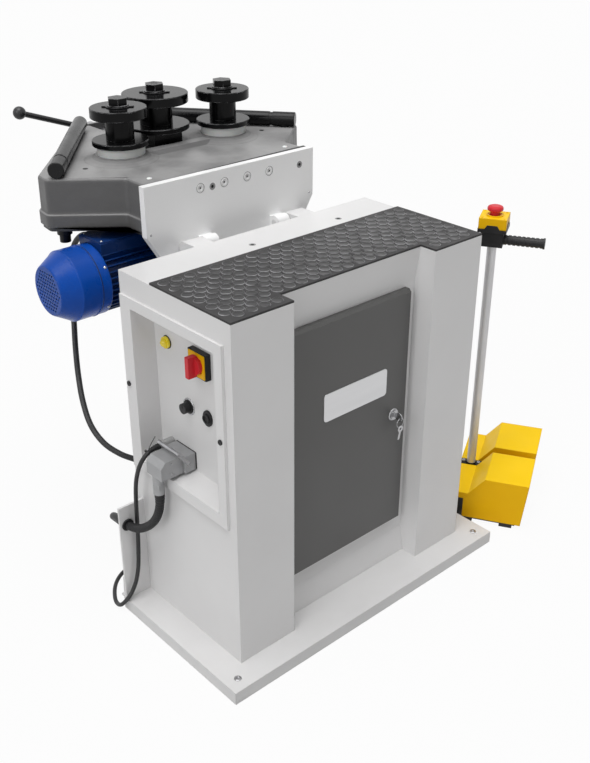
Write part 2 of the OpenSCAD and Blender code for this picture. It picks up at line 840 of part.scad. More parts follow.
// Solid through closed rings of equal count
module loft(rings) {
  n = len(rings[0]);
  top = len(rings) - 1;
  polyhedron(points = [for (ring = rings) each ring],
    faces = concat([[for (k = [0:n - 1]) k]], [[for (k = [n - 1:-1:0]) top * n + k]],
      [for (i = [0:top - 1]) for (k = [0:n - 1])
        each [[i * n + k, (i + 1) * n + k, (i + 1) * n + (k + 1) % n],
          [i * n + k, (i + 1) * n + (k + 1) % n, i * n + (k + 1) % n]]]));
}

module tube(p, d, count) {
  m = sides_of(p, unit(cross(along(p, 0), [0.3, 0.5, 0.81])));
  loft([for (i = [0:len(p) - 1]) let (c = cross(along(p, i), m[i]))
    [for (k = [0:count - 1]) p[i] + d / 2 * (cos(360 * k / count) * m[i] + sin(360 * k / count) * c)]]);
}

module at_rolls() {
  for (s = [-1, 1])
    translate([s * front_x, front_y, 0])
      children();
}

module base_plate() {
  color("gainsboro")
    difference() {
      slab_z([0, base_h], [[-base_w / 2, -base_front], [base_w / 2, -base_front],
        [base_w / 2, base_back - base_cut], [base_w / 2 - base_corner, base_back],
        [base_corner - base_w / 2, base_back], [-base_w / 2, base_back - base_cut]]);
      for (x = [level_in - base_w / 2, base_w / 2 - level_in])
        for (y = [level_in - base_front, base_back - level_back])
          translate([x, y, 0])
            rod_z([-ov, base_h + ov], level_d / 2);
    }
}

module cable_guard() {
  color("gainsboro")
    difference() {
      union() {
        box([guard_x, cab_left], [guard_y, guard_y + guard_t], [base_h, base_h + guard_h]);
        box([guard_x, cab_left], [guard_y, guard_y + guard_foot], [base_h, base_h + guard_t]);
      }
      translate([guard_hole[0], 0, guard_hole[1]])
        rod_y([guard_y - ov, guard_y + guard_t + ov], guard_hole_d / 2);
    }
}

// Space of the bay, with its panel moved in by a distance
module bay(by) {
  slab_x([-bay_w / 2 - by, bay_w / 2 + by], [[cab_front - ov, base_h - ov],
    [cab_front + bay_edge_d + by, base_h - ov], [cab_front + bay_edge_d + by, base_h],
    [bay_y + by, base_h + bay_foot], [bay_y + by, cab_top - bay_top],
    [cab_front + bay_edge_d + by, cab_top], [cab_front + bay_edge_d + by, cab_top + ov],
    [cab_front - ov, cab_top + ov]]);
}

module cabinet_shell() {
  color("whitesmoke") {
    difference() {
      box([cab_left, -cab_left], [cab_front, cab_back], [base_h, cab_top]);
      bay(0);
      difference() {
        box([cab_left + cab_t, -cab_left - cab_t], [cab_front + cab_t, cab_back - cab_t],
          [base_h + cab_t, cab_top - cab_t]);
        bay(cab_t);
      }
      box([door_lap - door_w / 2, door_w / 2 - door_lap], [bay_y - ov, bay_y + cab_t + ov],
        [door_z + door_lap, door_top - door_lap]);
      box([cab_left - ov, cab_left + cab_t + ov], [tray_front - tray_t, tray_back + tray_t],
        [tray_z - tray_t, tray_z + tray_h + tray_t]);
      for (x = [-bolt_left, bolt_right])
        translate([x, hinge_y - head_z + bolt_down + hinge_z, 0])
          rod_z([cab_top - cab_t - ov, cab_top + ov], land_d / 2);
    }
    for (z = door_hinge_z)
      difference() {
        union() {
          translate([door_hinge_x, door_hinge_y, 0])
            rod_z([z, z + door_knuckle_h - door_gap], door_knuckle_r);
          box([door_hinge_x - door_knuckle_r, door_hinge_x + door_pin_r], [door_hinge_y, bay_y + ov],
            [z, z + door_knuckle_h - door_gap]);
        }
        translate([door_hinge_x, door_hinge_y, 0])
          rod_z([z - ov, z + door_knuckle_h + ov], door_pin_r + running);
      }
  }
}

module top_mat() {
  color("dimgray")
    slab_z([cab_top, cab_top + mat_t], [[cab_left, cab_front], [-bay_w / 2, cab_front],
      [-bay_w / 2, cab_front + bay_edge_d], [bay_w / 2, cab_front + bay_edge_d],
      [bay_w / 2, cab_front], [-cab_left, cab_front], [-cab_left, cab_back - strip_d],
      [cab_left, cab_back - strip_d]]);
}

module tray_space(by) {
  slab_y([tray_front - by, tray_back + by], [[cab_left - frame_t - ov, tray_z - by],
    [cab_left, tray_z - by], [panel_x + by, tray_z + ledge_h - by],
    [panel_x + by, tray_z + tray_h + by], [cab_left - frame_t - ov, tray_z + tray_h + by]]);
}

module control_tray() {
  color("white")
    difference() {
      union() {
        box([frame_x, cab_left], [frame_back - frame_w, frame_back], [frame_z, frame_z + frame_h]);
        intersection() {
          tray_space(tray_t);
          box([frame_x, panel_x + tray_d], [cab_front, cab_back], [base_h, cab_top]);
        }
      }
      tray_space(0);
      translate([0, tray_back - lamp_y, tray_z + lamp_z])
        rod_x([panel_x - ov, panel_x + tray_t + ov], lamp_r + push);
      translate([0, tray_back - switch_y, tray_z + switch_z])
        rod_x([panel_x - ov, panel_x + tray_t + ov], stem_r + turn_gap);
      translate([0, tray_back - dial_y, tray_z + dial_z])
        rod_x([panel_x - ov, panel_x + tray_t + ov], stem_r + running);
      translate([0, inlet_mid, tray_z + inlet_z])
        rod_x([panel_x - ov, panel_x + tray_t + ov], mains_d / 2 + turn_gap);
    }
}

module pilot_lamp() {
  color("gold")
    translate([panel_x, tray_back - lamp_y, tray_z + lamp_z]) {
      rod_x([-bezel_h, 0], lamp_r + bezel_w);
      rod_x([lamp_r - lamp_h, tray_t + lamp_r], lamp_r);
      translate([lamp_r - lamp_h, 0, 0])
        sphere(r = lamp_r);
    }
}

module isolator_base() {
  color("black")
    translate([panel_x, tray_back - switch_y, tray_z + switch_z])
      difference() {
        box([-switch_h, 0], [-switch_w / 2, switch_w / 2], [-switch_w / 2, switch_w / 2]);
        rod_x([-switch_h - ov, ov], stem_r + running);
      }
}

module isolator_handle() {
  color("crimson")
    translate([panel_x - switch_h - turn_gap, tray_back - switch_y, tray_z + switch_z]) {
      rod_x([-switch_boss_h, 0], switch_boss_r);
      box([-switch_boss_h - handle_h, -switch_boss_h / 2], [-handle_w / 2, handle_w / 2],
        [-handle_l / 2, handle_l / 2]);
      rod_x([-switch_boss_h, stem_l], stem_r);
    }
}

module dial_knob() {
  color("black")
    translate([panel_x - turn_gap, tray_back - dial_y, tray_z + dial_z])
      difference() {
        union() {
          rod_x([-dial_skirt_h, 0], dial_skirt_r);
          rod_x([-dial_h, 0], dial_r);
          rod_x([-dial_h, stem_l], stem_r);
        }
        box([-dial_h - ov, dial_groove - dial_h], [-dial_groove / 2, dial_groove / 2], [0, dial_r + ov]);
      }
}

module connector_housing() {
  color("silver")
    translate([0, plug_mid, 0]) {
      box([panel_x - plug_d, panel_x], [-plug_w / 2, plug_w / 2],
        [tray_z + plug_z - plug_h / 2, tray_z + plug_z + plug_h / 2]);
      translate([lever_axis[0], 0, lever_axis[1]])
        rod_y([-plug_w / 2 - lever_t, plug_w / 2 + lever_t], lever_pin_r);
    }
}

module connector_lever() {
  color("darkgray")
    translate([0, plug_mid, 0])
      difference() {
        union() {
          for (s = [-1, 1])
            translate([lever_axis[0], s * (plug_w / 2 + turn_gap + lever_t / 2), lever_axis[1]]) {
              rod_y([-lever_t / 2, lever_t / 2], lever_w / 2);
              rotate([0, -90 - acos(lever_reach_share[1]), 0])
                box([0, lever_l], [-lever_t / 2, lever_t / 2], [-lever_w / 2, lever_w / 2]);
            }
          translate([lever_end[0], 0, lever_end[1]])
            rod_y([-plug_w / 2 - turn_gap - lever_t, plug_w / 2 + turn_gap + lever_t], lever_w / 2);
        }
        translate([lever_axis[0], 0, lever_axis[1]])
          rod_y([-plug_w, plug_w], lever_pin_r + running);
      }
}

module plug_hood() {
  color("dimgray")
    difference() {
      union() {
        slab_y([plug_mid - hood_w / 2, plug_mid + hood_w / 2],
          [[hood_x, gland_z], [hood_x, gland_z + hood_h], [hood_end + hood_bevel, gland_z + hood_h],
            [hood_end, gland_z + hood_h - hood_bevel], [hood_end, gland_z]]);
        translate([gland_x, gland_y, 0]) {
          rod_z([gland_z - hood_gland_l, gland_z + ov], hood_gland_r);
          translate([0, 0, gland_z - hood_gland_l + hood_gland_r])
            cylinder(h = hood_gland_r, r = hood_gland_r + bezel_w / 2, $fn = 6);
        }
      }
      translate([gland_x, gland_y, 0])
        rod_z([gland_z - hood_gland_l - ov, gland_z - hood_gland_l + hood_gland_r], lead_d / 2 + turn_gap);
    }
}

module mains_gland() {
  color("gray")
    translate([panel_x, inlet_mid, tray_z + inlet_z])
      difference() {
        union() {
          rod_x([-inlet_l, 0], inlet_r - bezel_w);
          rod_x([-inlet_l + bezel_h, 0], inlet_r - bezel_w / 4);
          translate([-bezel_h, 0, 0])
            rotate([0, 90, 0])
              cylinder(h = bezel_h, r = inlet_r, $fn = 6);
        }
        rod_x([-inlet_l - ov, ov], mains_d / 2 + turn_gap);
      }
}

module mains_cord() {
  color("black")
    tube(smooth(mains_route), mains_d, 8);
}

module mains_coil() {
  color("black")
    tube(coil_route, mains_d, 6);
}

module mains_plug() {
  color("royalblue")
    translate(coil_end + [push, 0, 0])
      rotate([0, 90, 0])
        rotate_extrude()
          polygon([[0, 0], [mains_d / 2 + bezel_w, 0], [plug_r * 0.7, plug_l / 4],
            [plug_r * 0.7, plug_l * 0.6], [plug_r - ov, plug_l * 0.65], [plug_r - ov, plug_l],
            [plug_r - ov - bezel_w, plug_l], [plug_r - ov - bezel_w, plug_l * 0.7],
            [0, plug_l * 0.7]]);
}

module pedal_cord() {
  color("black")
    tube(smooth(lead_route), lead_d, 10);
}

module motor_cord() {
  color("black")
    tube(smooth(motor_route), motor_lead_d, 8);
}

module hinge_blocks() {
  color("silver")
    for (x = [[-knuckle_left - knuckle_l / 2 - knuckle_gap, -1],
      [knuckle_right + knuckle_l / 2 + knuckle_gap, 1]]) {
      span = x[1] < 0 ? [x[0] - block_l, x[0]] : [x[0], x[0] + block_l];
      slab_x(span, [[cab_back, hinge_z - knuckle_r - nose_h],
        [plate_front - nose_h / 2, hinge_z - knuckle_r - nose_h],
        [plate_front, hinge_z - knuckle_r - nose_h / 2], [plate_front, hinge_z - knuckle_r],
        [hinge_y, hinge_z - knuckle_r], [hinge_y, hinge_z + knuckle_r], [cab_back, hinge_z + knuckle_r]]);
      translate([0, hinge_y, hinge_z]) {
        rod_x(span, knuckle_r);
        rod_x(x[1] < 0 ? [x[0] - ov, x[0] + knuckle_l + 2 * knuckle_gap] :
          [x[0] - knuckle_l - 2 * knuckle_gap, x[0] + ov], hinge_pin_r);
      }
    }
}

module control_gear() {
  unit_w = door_w / 8;
  depth = cab_d / 5;
  face = cab_back - cab_t;
  color("lightgray") {
    box([-door_w / 2, door_w / 2], [face - cab_t, face], [door_z, door_top]);
    for (i = [-3:3])
      box([i * unit_w - unit_w * 0.45, i * unit_w + unit_w * 0.45], [face - depth, face - cab_t],
        [door_z + door_h * 0.72, door_z + door_h * 0.85]);
    box([-door_w * 0.45, -door_w * 0.05], [face - 1.6 * depth, face - cab_t],
      [door_z + door_h * 0.3, door_z + door_h * 0.62]);
    box([door_w * 0.08, door_w * 0.4], [face - 1.3 * depth, face - cab_t],
      [door_z + door_h * 0.3, door_z + door_h * 0.5]);
    box([-door_w * 0.45, door_w * 0.45], [face - depth / 2, face - cab_t],
      [door_z + door_h * 0.65, door_z + door_h * 0.69]);
  }
}

module door_panel() {
  color("dimgray")
    difference() {
      union() {
        slab_x([-door_w / 2, door_w / 2], [[door_back, door_z], [door_back, door_top],
          [door_front + door_bevel, door_top], [door_front, door_top - door_bevel],
          [door_front, door_z + door_bevel], [door_front + door_bevel, door_z]]);
        for (z = door_hinge_z) {
          translate([door_hinge_x, door_hinge_y, 0]) {
            rod_z([z + door_knuckle_h, z + 2 * door_knuckle_h], door_knuckle_r);
            rod_z([z + door_gap, z + 2 * door_knuckle_h], door_pin_r);
          }
          box([door_hinge_x, ov - door_w / 2], [door_hinge_y - door_knuckle_r, door_hinge_y + door_pin_r],
            [z + door_knuckle_h, z + 2 * door_knuckle_h]);
        }
      }
      box([door_sheet - door_w / 2, door_w / 2 - door_sheet], [door_front + door_sheet, door_back + ov],
        [door_z + door_bevel, door_top - door_bevel]);
      translate([lock_x, 0, lock_z])
        rod_y([door_front - ov, door_front + door_sheet + ov], lock_r + running);
    }
}

module lock_key() {
  face = door_front - turn_gap - lock_collar_h;
  color("silver")
    translate([lock_x, 0, lock_z]) {
      rod_y([face, door_front - turn_gap], lock_collar_r);
      rod_y([face, door_back], lock_r);
      box([-key_t / 2, key_t / 2], [face - key_l + key_r, face + ov], [-key_r / 2, key_r / 2]);
      translate([-key_t / 2, face - key_l + key_r, 0])
        rod_x([0, key_t], key_r);
    }
}

module head_plate() {
  web_z = [hinge_z - knuckle_r * 0.8, hinge_z + knuckle_r * 0.8];
  color("gainsboro")
    difference() {
      union() {
        slab_y([plate_front, plate_back], [[plate_cut_w - plate_w / 2, plate_foot],
          [plate_w / 2 - plate_cut_w, plate_foot], [plate_w / 2, plate_foot + plate_cut_h],
          [plate_w / 2, head_z], [-plate_w / 2, head_z], [-plate_w / 2, plate_foot + plate_cut_h]]);
        for (x = [-knuckle_left, knuckle_right]) {
          translate([0, hinge_y, hinge_z])
            rod_x([x - knuckle_l / 2, x + knuckle_l / 2], knuckle_r);
          box([x - knuckle_l / 2, x + knuckle_l / 2], [hinge_y, plate_front + ov], web_z);
        }
      }
      for (x = [-knuckle_left, knuckle_right])
        translate([0, hinge_y, hinge_z])
          rod_x([x - knuckle_l / 2 - ov, x + knuckle_l / 2 + ov], hinge_pin_r + running);
      for (x = [-bolt_left, bolt_right])
        translate([x, 0, head_z - bolt_down])
          rod_y([plate_front - ov, plate_back + ov], land_d / 2);
    }
}

function cast_ring(by, z) = [for (p = rounded(grown(cast_points, by), cast_r + by)) [p.x, p.y, z]];

module head_casting() {
  draft = edge_r / 8;
  color("gray")
    difference() {
      union() {
        difference() {
          intersection() {
            loft([cast_ring(rim_out - draft, cast_z), cast_ring(rim_out, cast_z + draft),
              cast_ring(rim_out, cast_z + rim_h - rim_out / 2), cast_ring(draft, cast_z + rim_h),
              cast_ring(0, cast_z + rim_h + rim_out), cast_ring(-draft, head_z - edge_r),
              cast_ring(-draft - edge_r * 0.13, head_z - edge_r * 0.5),
              cast_ring(-draft - edge_r * 0.5, head_z - edge_r * 0.13),
              cast_ring(-draft - edge_r, head_z)]);
            box([-shoulder_w, shoulder_w], [plate_back, cast_back + shoulder_w], [0, head_z + ov]);
          }
          slab_z([cast_z - ov, head_z - cast_t], rounded(grown(cast_points, -cast_t), cast_r));
        }
        at_rolls() {
          rotate_extrude()
            polygon([[0, head_z - cast_t], [boss_foot_r, head_z - cast_t], [boss_foot_r, head_z - ov],
              [boss_foot_r * 0.9 + boss_r * 0.1, head_z + boss_h * 0.05],
              [boss_foot_r * 0.6 + boss_r * 0.4, head_z + boss_h * 0.22],
              [boss_foot_r * 0.3 + boss_r * 0.7, head_z + boss_h * 0.5],
              [boss_foot_r * 0.08 + boss_r * 0.92, head_z + boss_h * 0.85],
              [boss_r, boss_top], [0, boss_top]]);
          rod_z([bearing_z - rim_out, head_z - cast_t + ov], seat_r);
        }
        slab_x([-front_x, front_x], [[slot_front - ridge_w - ov, head_z - cast_t],
          [slot_front - ov, head_z - cast_t], [slot_front - ov, head_z],
          [slot_front - ridge_h, head_z + ridge_h], [slot_front - ridge_w + ridge_h, head_z + ridge_h],
          [slot_front - ridge_w - ov, head_z]]);
        box([-slot_w / 2 - cast_t, slot_w / 2 + cast_t], [slot_front - cast_t, cast_back - cast_t / 2],
          [slot_floor - cast_t, head_z - cast_t + ov]);
        for (s = [-1, 1])
          translate([s * arm_x, arm_mid, 0])
            rod_z([cast_z, head_z - cast_t + ov], pin_r + pin_wall);
      }
      at_rolls() {
        rod_z([bearing_z - rim_out - ov, bearing_top], bearing_r + push);
        rod_z([bearing_top - ov, boss_top + ov], journal_r + ov);
      }
      box([-slot_w / 2, slot_w / 2], [slot_front, cast_back + shoulder_w], [slot_floor, head_z + ridge_h + ov]);
      for (s = [-1, 1])
        translate([s * arm_x, arm_mid, 0])
          rod_z([cast_z - ov, head_z + ov], pin_r + running);
    }
}

module bottom_cover() {
  color("dimgray")
    difference() {
      union() {
        slab_z([cover_z, cast_z], rounded(grown(cast_points, -ov), cast_r));
        at_rolls() {
          rod_z([cover_z - dish_h, cover_z + ov], dish_r);
          rod_z([cast_z - ov, seat_floor + bearing_h], seat_r);
        }
      }
      at_rolls()
        rod_z([seat_floor, seat_floor + bearing_h + ov], bearing_r + push);
      translate([0, pinion_y, 0])
        rod_z([cover_z - ov, cast_z + ov], pinion_shaft_r + ov);
      for (s = [-1, 1])
        translate([s * arm_x, arm_mid, 0])
          rod_z([cover_z - ov, cast_z + ov], pin_r + ov);
    }
}

module nylon_collars() {
  color("ivory")
    at_rolls()
      difference() {
        rod_z([boss_top, boss_top + collar_h], collar_r);
        rod_z([boss_top - ov, boss_top + collar_h + ov], journal_r + ov);
      }
}

module shaft_bearings() {
  color("silver")
    at_rolls()
      for (z = [seat_floor, bearing_z])
        difference() {
          rod_z([z, z + bearing_h], bearing_r);
          rod_z([z - ov, z + bearing_h + ov], journal_r + running);
        }
}

module gearbox() {
  color("royalblue")
    difference() {
      union() {
        translate([0, pinion_y, 0]) {
          rod_z([wheel_z, wheel_z + wheel_h], wheel_r);
          rod_z([wheel_z + wheel_h - ov, cover_z], column_r);
        }
        translate([0, drive_y, drive_z]) {
          rod_x([-worm_l, worm_l], worm_r);
          rod_x([-motor_x, -worm_l + ov], shield_r - rim_out);
        }
      }
      translate([0, pinion_y, 0])
        rod_z([wheel_z + wheel_h / 2, cover_z + ov], pinion_shaft_r + running);
    }
}

module motor_body() {
  color("royalblue")
    translate([0, drive_y, drive_z])
      difference() {
        union() {
          rod_x([motor_end, -motor_x], core_r);
          rod_x([motor_end, motor_end + shield_t], cowl_r - cowl_t - push);
          rod_x([-motor_x - shield_t, -motor_x], shield_r);
          for (i = [0:fins - 1])
            rotate([360 * (i + 0.5) / fins, 0, 0])
              box([motor_end + shield_t - ov, ov - motor_x - shield_t], [-fin_t / 2, fin_t / 2],
                [core_r - ov, fin_r]);
          box(term_x, [-term_d / 2, term_d / 2], [0, term_h]);
          translate([motor_route[0].x, 0, motor_route[0].z - drive_z])
            rod_y([term_d / 2 - ov, term_d / 2 + inlet_r], inlet_r);
        }
        rod_x([motor_end - ov, motor_end + stem_l], rotor_r + running);
      }
}

module fan_cover() {
  color("royalblue")
    translate([0, drive_y, drive_z])
      difference() {
        translate([cowl_end, 0, 0])
          rotate([0, 90, 0])
            rotate_extrude()
              polygon([[0, 0], [cowl_end_r - cowl_t, 0], [cowl_end_r, cowl_t], [cowl_r - cowl_t, cone_l],
                [cowl_r, cone_l + cowl_t], [cowl_r, cowl_lap], [cowl_r - cowl_t, cowl_lap],
                [cowl_r - cowl_t, cone_l + cowl_t], [cowl_r - 2 * cowl_t, cone_l],
                [cowl_end_r - cowl_t, cowl_t], [0, cowl_t]]);
        for (i = [-vent_rows:vent_rows])
          for (k = [-vent_rows:vent_rows]) {
            y = vent_pitch * (k + (abs(i) % 2) / 2);
            z = vent_pitch * i * sqrt(3) / 2;
            if (norm([y, z]) < cowl_end_r - 3 * cowl_t - vent_r)
              translate([0, y, z])
                rod_x([cowl_end - ov, cowl_end + cowl_t + ov], vent_r);
          }
      }
}

module motor_fan() {
  color("black")
    translate([0, drive_y, drive_z]) {
      rod_x([fan_x, fan_x + fan_l], fan_r / 3);
      rod_x([fan_x, motor_end + stem_l - ov], rotor_r);
      for (i = [0:blades - 1])
        rotate([360 * i / blades, 0, 0])
          box([fan_x, fan_x + fan_l], [-fin_t / 2, fin_t / 2], [fan_r / 4, fan_r]);
    }
}

module nut_bracket() {
  color("lightgray")
    difference() {
      union() {
        box([-bracket_w / 2, bracket_w / 2], [cast_back, cast_back + bracket_t],
          [screw_z - bracket_h / 2, screw_z + bracket_h / 2 - slide_gap]);
        translate([0, 0, screw_z])
          rod_y([cast_back + bracket_t - ov, cast_back + bracket_t + bracket_l], bracket_r);
      }
      translate([0, 0, screw_z])
        rod_y([cast_back - ov, cast_back + bracket_t + bracket_l + ov], screw_r + running);
    }
}

module drive_pinion() {
  color("silver")
    translate([0, pinion_y, 0]) {
      rotate([0, 0, mesh_angle])
        slab_z([gear_z - ov, gear_z + gear_h + ov], gear_points(pinion_teeth));
      rod_z([wheel_z + wheel_h / 2 + running, gear_z], pinion_shaft_r);
    }
}

module roll_shaft() {
  rod_z([seat_floor + turn_gap, roll_z], journal_r);
  rod_z([roll_z - ov, washer_z - ov], shaft_r);
  rod_z([roll_z, shaft_top], thread_r);
}

module roll_nut() {
  difference() {
    union() {
      rod_z([washer_z, nut_z], washer_r);
      translate([0, 0, nut_z])
        cylinder(h = nut_h, r = nut_r, $fn = 6);
    }
    rod_z([washer_z - ov, shaft_top + ov], thread_r + running);
  }
}

module flange(z, h, r, keys) {
  difference() {
    translate([0, 0, z])
      rotate_extrude()
        polygon([[shaft_r + push, 0], [r - flange_bevel, 0], [r, flange_bevel], [r, h - flange_bevel],
          [r - flange_bevel, h], [shaft_r + push, h]]);
    if (keys)
      for (s = [0, 180])
        rotate([0, 0, s])
          box([-key_w / 2, key_w / 2], [shaft_r - key_w / 2, key_reach], [z - ov, z + h + ov]);
  }
}

module hub(r) {
  difference() {
    rod_z([hub_z, upper_z], r);
    rod_z([hub_z - ov, upper_z + ov], shaft_r + push);
  }
}

module roll_gear(phase) {
  difference() {
    rotate([0, 0, phase])
      slab_z([gear_z, gear_z + gear_h], gear_points(gear_teeth));
    rod_z([gear_z - ov, gear_z + gear_h + ov], journal_r + push);
  }
}

module left_shaft() {
  color("silver")
    translate([-front_x, front_y, 0]) {
      roll_shaft();
      roll_nut();
    }
}

module left_gear() {
  color("silver")
    translate([-front_x, front_y, 0])
      roll_gear(left_phase);
}

module left_lower_flange() {
  color("darkslategray")
    translate([-front_x, front_y, 0])
      flange(roll_z, lower_h, flange_r, false);
}

module left_hub() {
  color("darkslategray")
    translate([-front_x, front_y, 0])
      hub(hub_r);
}

module left_upper_flange() {
  color("darkslategray")
    translate([-front_x, front_y, 0])
      flange(upper_z, upper_h, flange_r, true);
}

module right_shaft() {
  color("silver")
    translate([front_x, front_y, 0]) {
      roll_shaft();
      roll_nut();
    }
}

module right_gear() {
  color("silver")
    translate([front_x, front_y, 0])
      roll_gear(right_phase);
}

module right_lower_flange() {
  color("darkslategray")
    translate([front_x, front_y, 0])
      flange(roll_z, lower_h, flange_r, false);
}

module right_hub() {
  color("darkslategray")
    translate([front_x, front_y, 0])
      hub(hub_r);
}

module right_upper_flange() {
  color("darkslategray")
    translate([front_x, front_y, 0])
      flange(upper_z, upper_h, flange_r, true);
}

module press_carriage() {
  color("black")
    difference() {
      box([-carriage_w / 2, carriage_w / 2], [carriage_y, carriage_back],
        [slot_floor + slide_gap, carriage_top]);
      translate([0, press_mid, 0])
        rod_z([slot_floor + 2 * tip_l, carriage_top + ov], shaft_r + push);
      translate([0, 0, screw_z])
        rod_y([carriage_back - tip_l - turn_gap, carriage_back + ov], tip_r + running);
    }
}

module press_shaft() {
  color("silver")
    translate([0, press_mid, 0]) {
      rod_z([slot_floor + 2 * tip_l, washer_z - ov], shaft_r);
      rod_z([carriage_top, roll_z - slide_gap], journal_r + tip_l / 4);
      rod_z([roll_z, shaft_top], thread_r);
      translate([0, 0, slide_gap])
        roll_nut();
    }
}

module press_lower_flange() {
  color("darkslategray")
    translate([0, press_mid, 0])
      flange(roll_z, lower_h, press_flange_r, false);
}

module press_hub() {
  color("darkslategray")
    translate([0, press_mid, 0])
      hub(press_hub_r);
}

module press_upper_flange() {
  color("darkslategray")
    translate([0, press_mid, 0]) {
      flange(upper_z, upper_h, press_flange_r, true);
    }
}

module press_screw() {
  color("silver")
    translate([0, 0, screw_z])
      difference() {
        union() {
          rod_y([carriage_back - tip_l, carriage_back + ov], tip_r);
          rod_y([carriage_back + turn_gap, screw_hub_y + ov], screw_r);
          rod_y([screw_hub_y, screw_hub_y + screw_hub_l], screw_hub_r);
        }
        translate([0, screw_hub_y + screw_hub_l / 2, 0])
          rotate([0, bar_tilt, 0])
            rod_x([-2 * screw_hub_r, 2 * screw_hub_r], bar_r + push);
      }
}

module tommy_bar() {
  color("black")
    translate([0, screw_hub_y + screw_hub_l / 2, screw_z])
      rotate([0, 90 + bar_tilt, 0])
        rotate_extrude()
          intersection() {
            union() {
              translate([0, -bar_l])
                square([bar_r, 2 * bar_l]);
              for (x = [-bar_l, bar_l])
                translate([0, x])
                  circle(r = ball_r);
            }
            translate([0, -bar_end])
              square([2 * ball_r, 2 * bar_end]);
          }
}

module guide_arm() {
  rotate([0, 90, 0])
    rotate_extrude()
      polygon([[0, -arm_fore], [arm_r - arm_bevel, -arm_fore], [arm_r, arm_bevel - arm_fore],
        [arm_r, arm_fore], [arm_r - arm_groove, arm_fore], [arm_r - arm_groove, arm_fore + arm_r / 2],
        [arm_r, arm_fore + arm_r / 2], [arm_r, arm_l - arm_bevel], [arm_r - arm_bevel, arm_l], [0, arm_l]]);
  rod_z([cast_z - pin_down - arm_z, 0], pin_r);
  rod_z([cover_z - arm_lift - pin_collar_h - arm_z, cover_z - arm_lift - arm_z], pin_r + pin_wall / 2);
}

module left_guide_arm() {
  color("dimgray")
    translate([-arm_x, arm_mid, arm_z])
      rotate([0, 0, arm_angle])
        guide_arm();
}

module right_guide_arm() {
  color("dimgray")
    translate([arm_x, arm_mid, arm_z])
      rotate([0, 0, 180 - arm_angle])
        guide_arm();
}

// Axes of the pedal station at the foot of its post
module at_station() {
  translate([station_x, -station_y, 0])
    rotate([0, 0, -station_turn])
      children();
}

module pedal_base() {
  half = shoe_in + shoe_w - foot_in;
  color("black")
    at_station() {
      difference() {
        box([-foot_back, foot_l - foot_back], [-half, half], [0, foot_h]);
        rod_z([foot_h / 2, foot_h + ov], post_r + push);
      }
      for (s = [-1, 1])
        for (e = [-1, 1])
          translate([0, s * (shoe_in + shoe_w / 2) + e * (pedal_w / 2 - shoe_t), 0])
            difference() {
              box([pedal_x - 2 * pedal_pin_r, pedal_x + 2 * pedal_pin_r], [-shoe_t / 2, shoe_t / 2],
                [foot_h - ov, pedal_z + pedal_pin_r * 0.8]);
              translate([pedal_x, 0, pedal_z])
                rod_y([-shoe_t, shoe_t], pedal_pin_r / 2 + running);
            }
      translate([-foot_back, 0, lead_d / 2 + turn_gap])
        rod_x([-foot_h, ov], lead_d / 2 - turn_gap);
    }
}

// Side view of a hood, or of its inside, drawn out along its width
module shoe_profile(y, by, out) {
  slab_y(y, [[by - foot_back, foot_h - out], [shoe_end - shoe_lean + out, foot_h - out],
    [shoe_end + out, shoe_z - by], [shoe_low_l - foot_back + shoe_slope_l, shoe_z - by],
    [shoe_low_l - foot_back, foot_h + shoe_low_h - by], [by - foot_back, foot_h + shoe_low_h - by]]);
}

module pedal_hoods() {
  color("gold")
    at_station()
      for (y = [[-shoe_in - shoe_w, -shoe_in], [shoe_in, shoe_in + shoe_w]])
        difference() {
          shoe_profile(y, 0, 0);
          shoe_profile([y[0] + shoe_t, y[1] - shoe_t], shoe_t, ov);
        }
}

module pedal(side) {
  at_station()
    translate([pedal_x, side * (shoe_in + shoe_w / 2), pedal_z]) {
      rotate([0, -pedal_turn, 0])
        difference() {
          box([-pedal_pin_r, pedal_l], [-pedal_w / 2, pedal_w / 2],
            [pedal_pin_r + ov, pedal_pin_r + ov + pedal_t]);
          for (x = [0.3, 0.5, 0.7, 0.9])
            box([pedal_l * x, pedal_l * x + pedal_t], [-pedal_w * 0.4, pedal_w * 0.4],
              [pedal_pin_r + pedal_t, pedal_pin_r + 2 * pedal_t]);
        }
      for (e = [-1, 1])
        translate([0, e * (pedal_w / 2 - 3 * shoe_t), 0]) {
          box([-pedal_pin_r, pedal_pin_r], [-shoe_t / 2, shoe_t / 2], [-pedal_pin_r, pedal_pin_r + 2 * ov]);
          rod_y(e < 0 ? [-2.4 * shoe_t, 0] : [0, 2.4 * shoe_t], pedal_pin_r / 2);
        }
    }
}

module left_pedal() {
  color("dimgray")
    pedal(-1);
}

module right_pedal() {
  color("dimgray")
    pedal(1);
}

module station_post() {
  color("silver")
    at_station()
      difference() {
        rod_z([foot_h / 2, post_top], post_r);
        rod_z([foot_h / 2 + post_t, post_top + ov], post_r - post_t);
      }
}

module handle_block() {
  grip_end = block_w / 2 + grip_l;
  pitch = grip_l / (grip_ribs + 1);
  color("black")
    at_station()
      difference() {
        union() {
          box([-block_w / 2, block_w / 2], [-block_w / 2, block_w / 2], [block_z, stop_z]);
          translate([0, 0, block_z + grip_up]) {
            rod_x([0, grip_end], grip_r - grip_groove);
            for (i = [0:grip_ribs])
              rod_x([block_w / 2 + i * pitch, block_w / 2 + i * pitch + pitch * 0.6], grip_r);
            rod_x([grip_end - pitch * 0.4, grip_end], grip_r + grip_groove);
          }
        }
        rod_z([block_z - ov, post_top], post_r + push);
      }
}

module estop_cover() {
  color("gold")
    at_station()
      difference() {
        box([-stop_w / 2, stop_w / 2], [-stop_w / 2, stop_w / 2], [stop_z, stop_z + stop_h]);
        rod_z([stop_z + stop_h - 2 * stop_in + stop_in / 2, stop_z + stop_h + ov], stop_neck_r + running);
      }
}

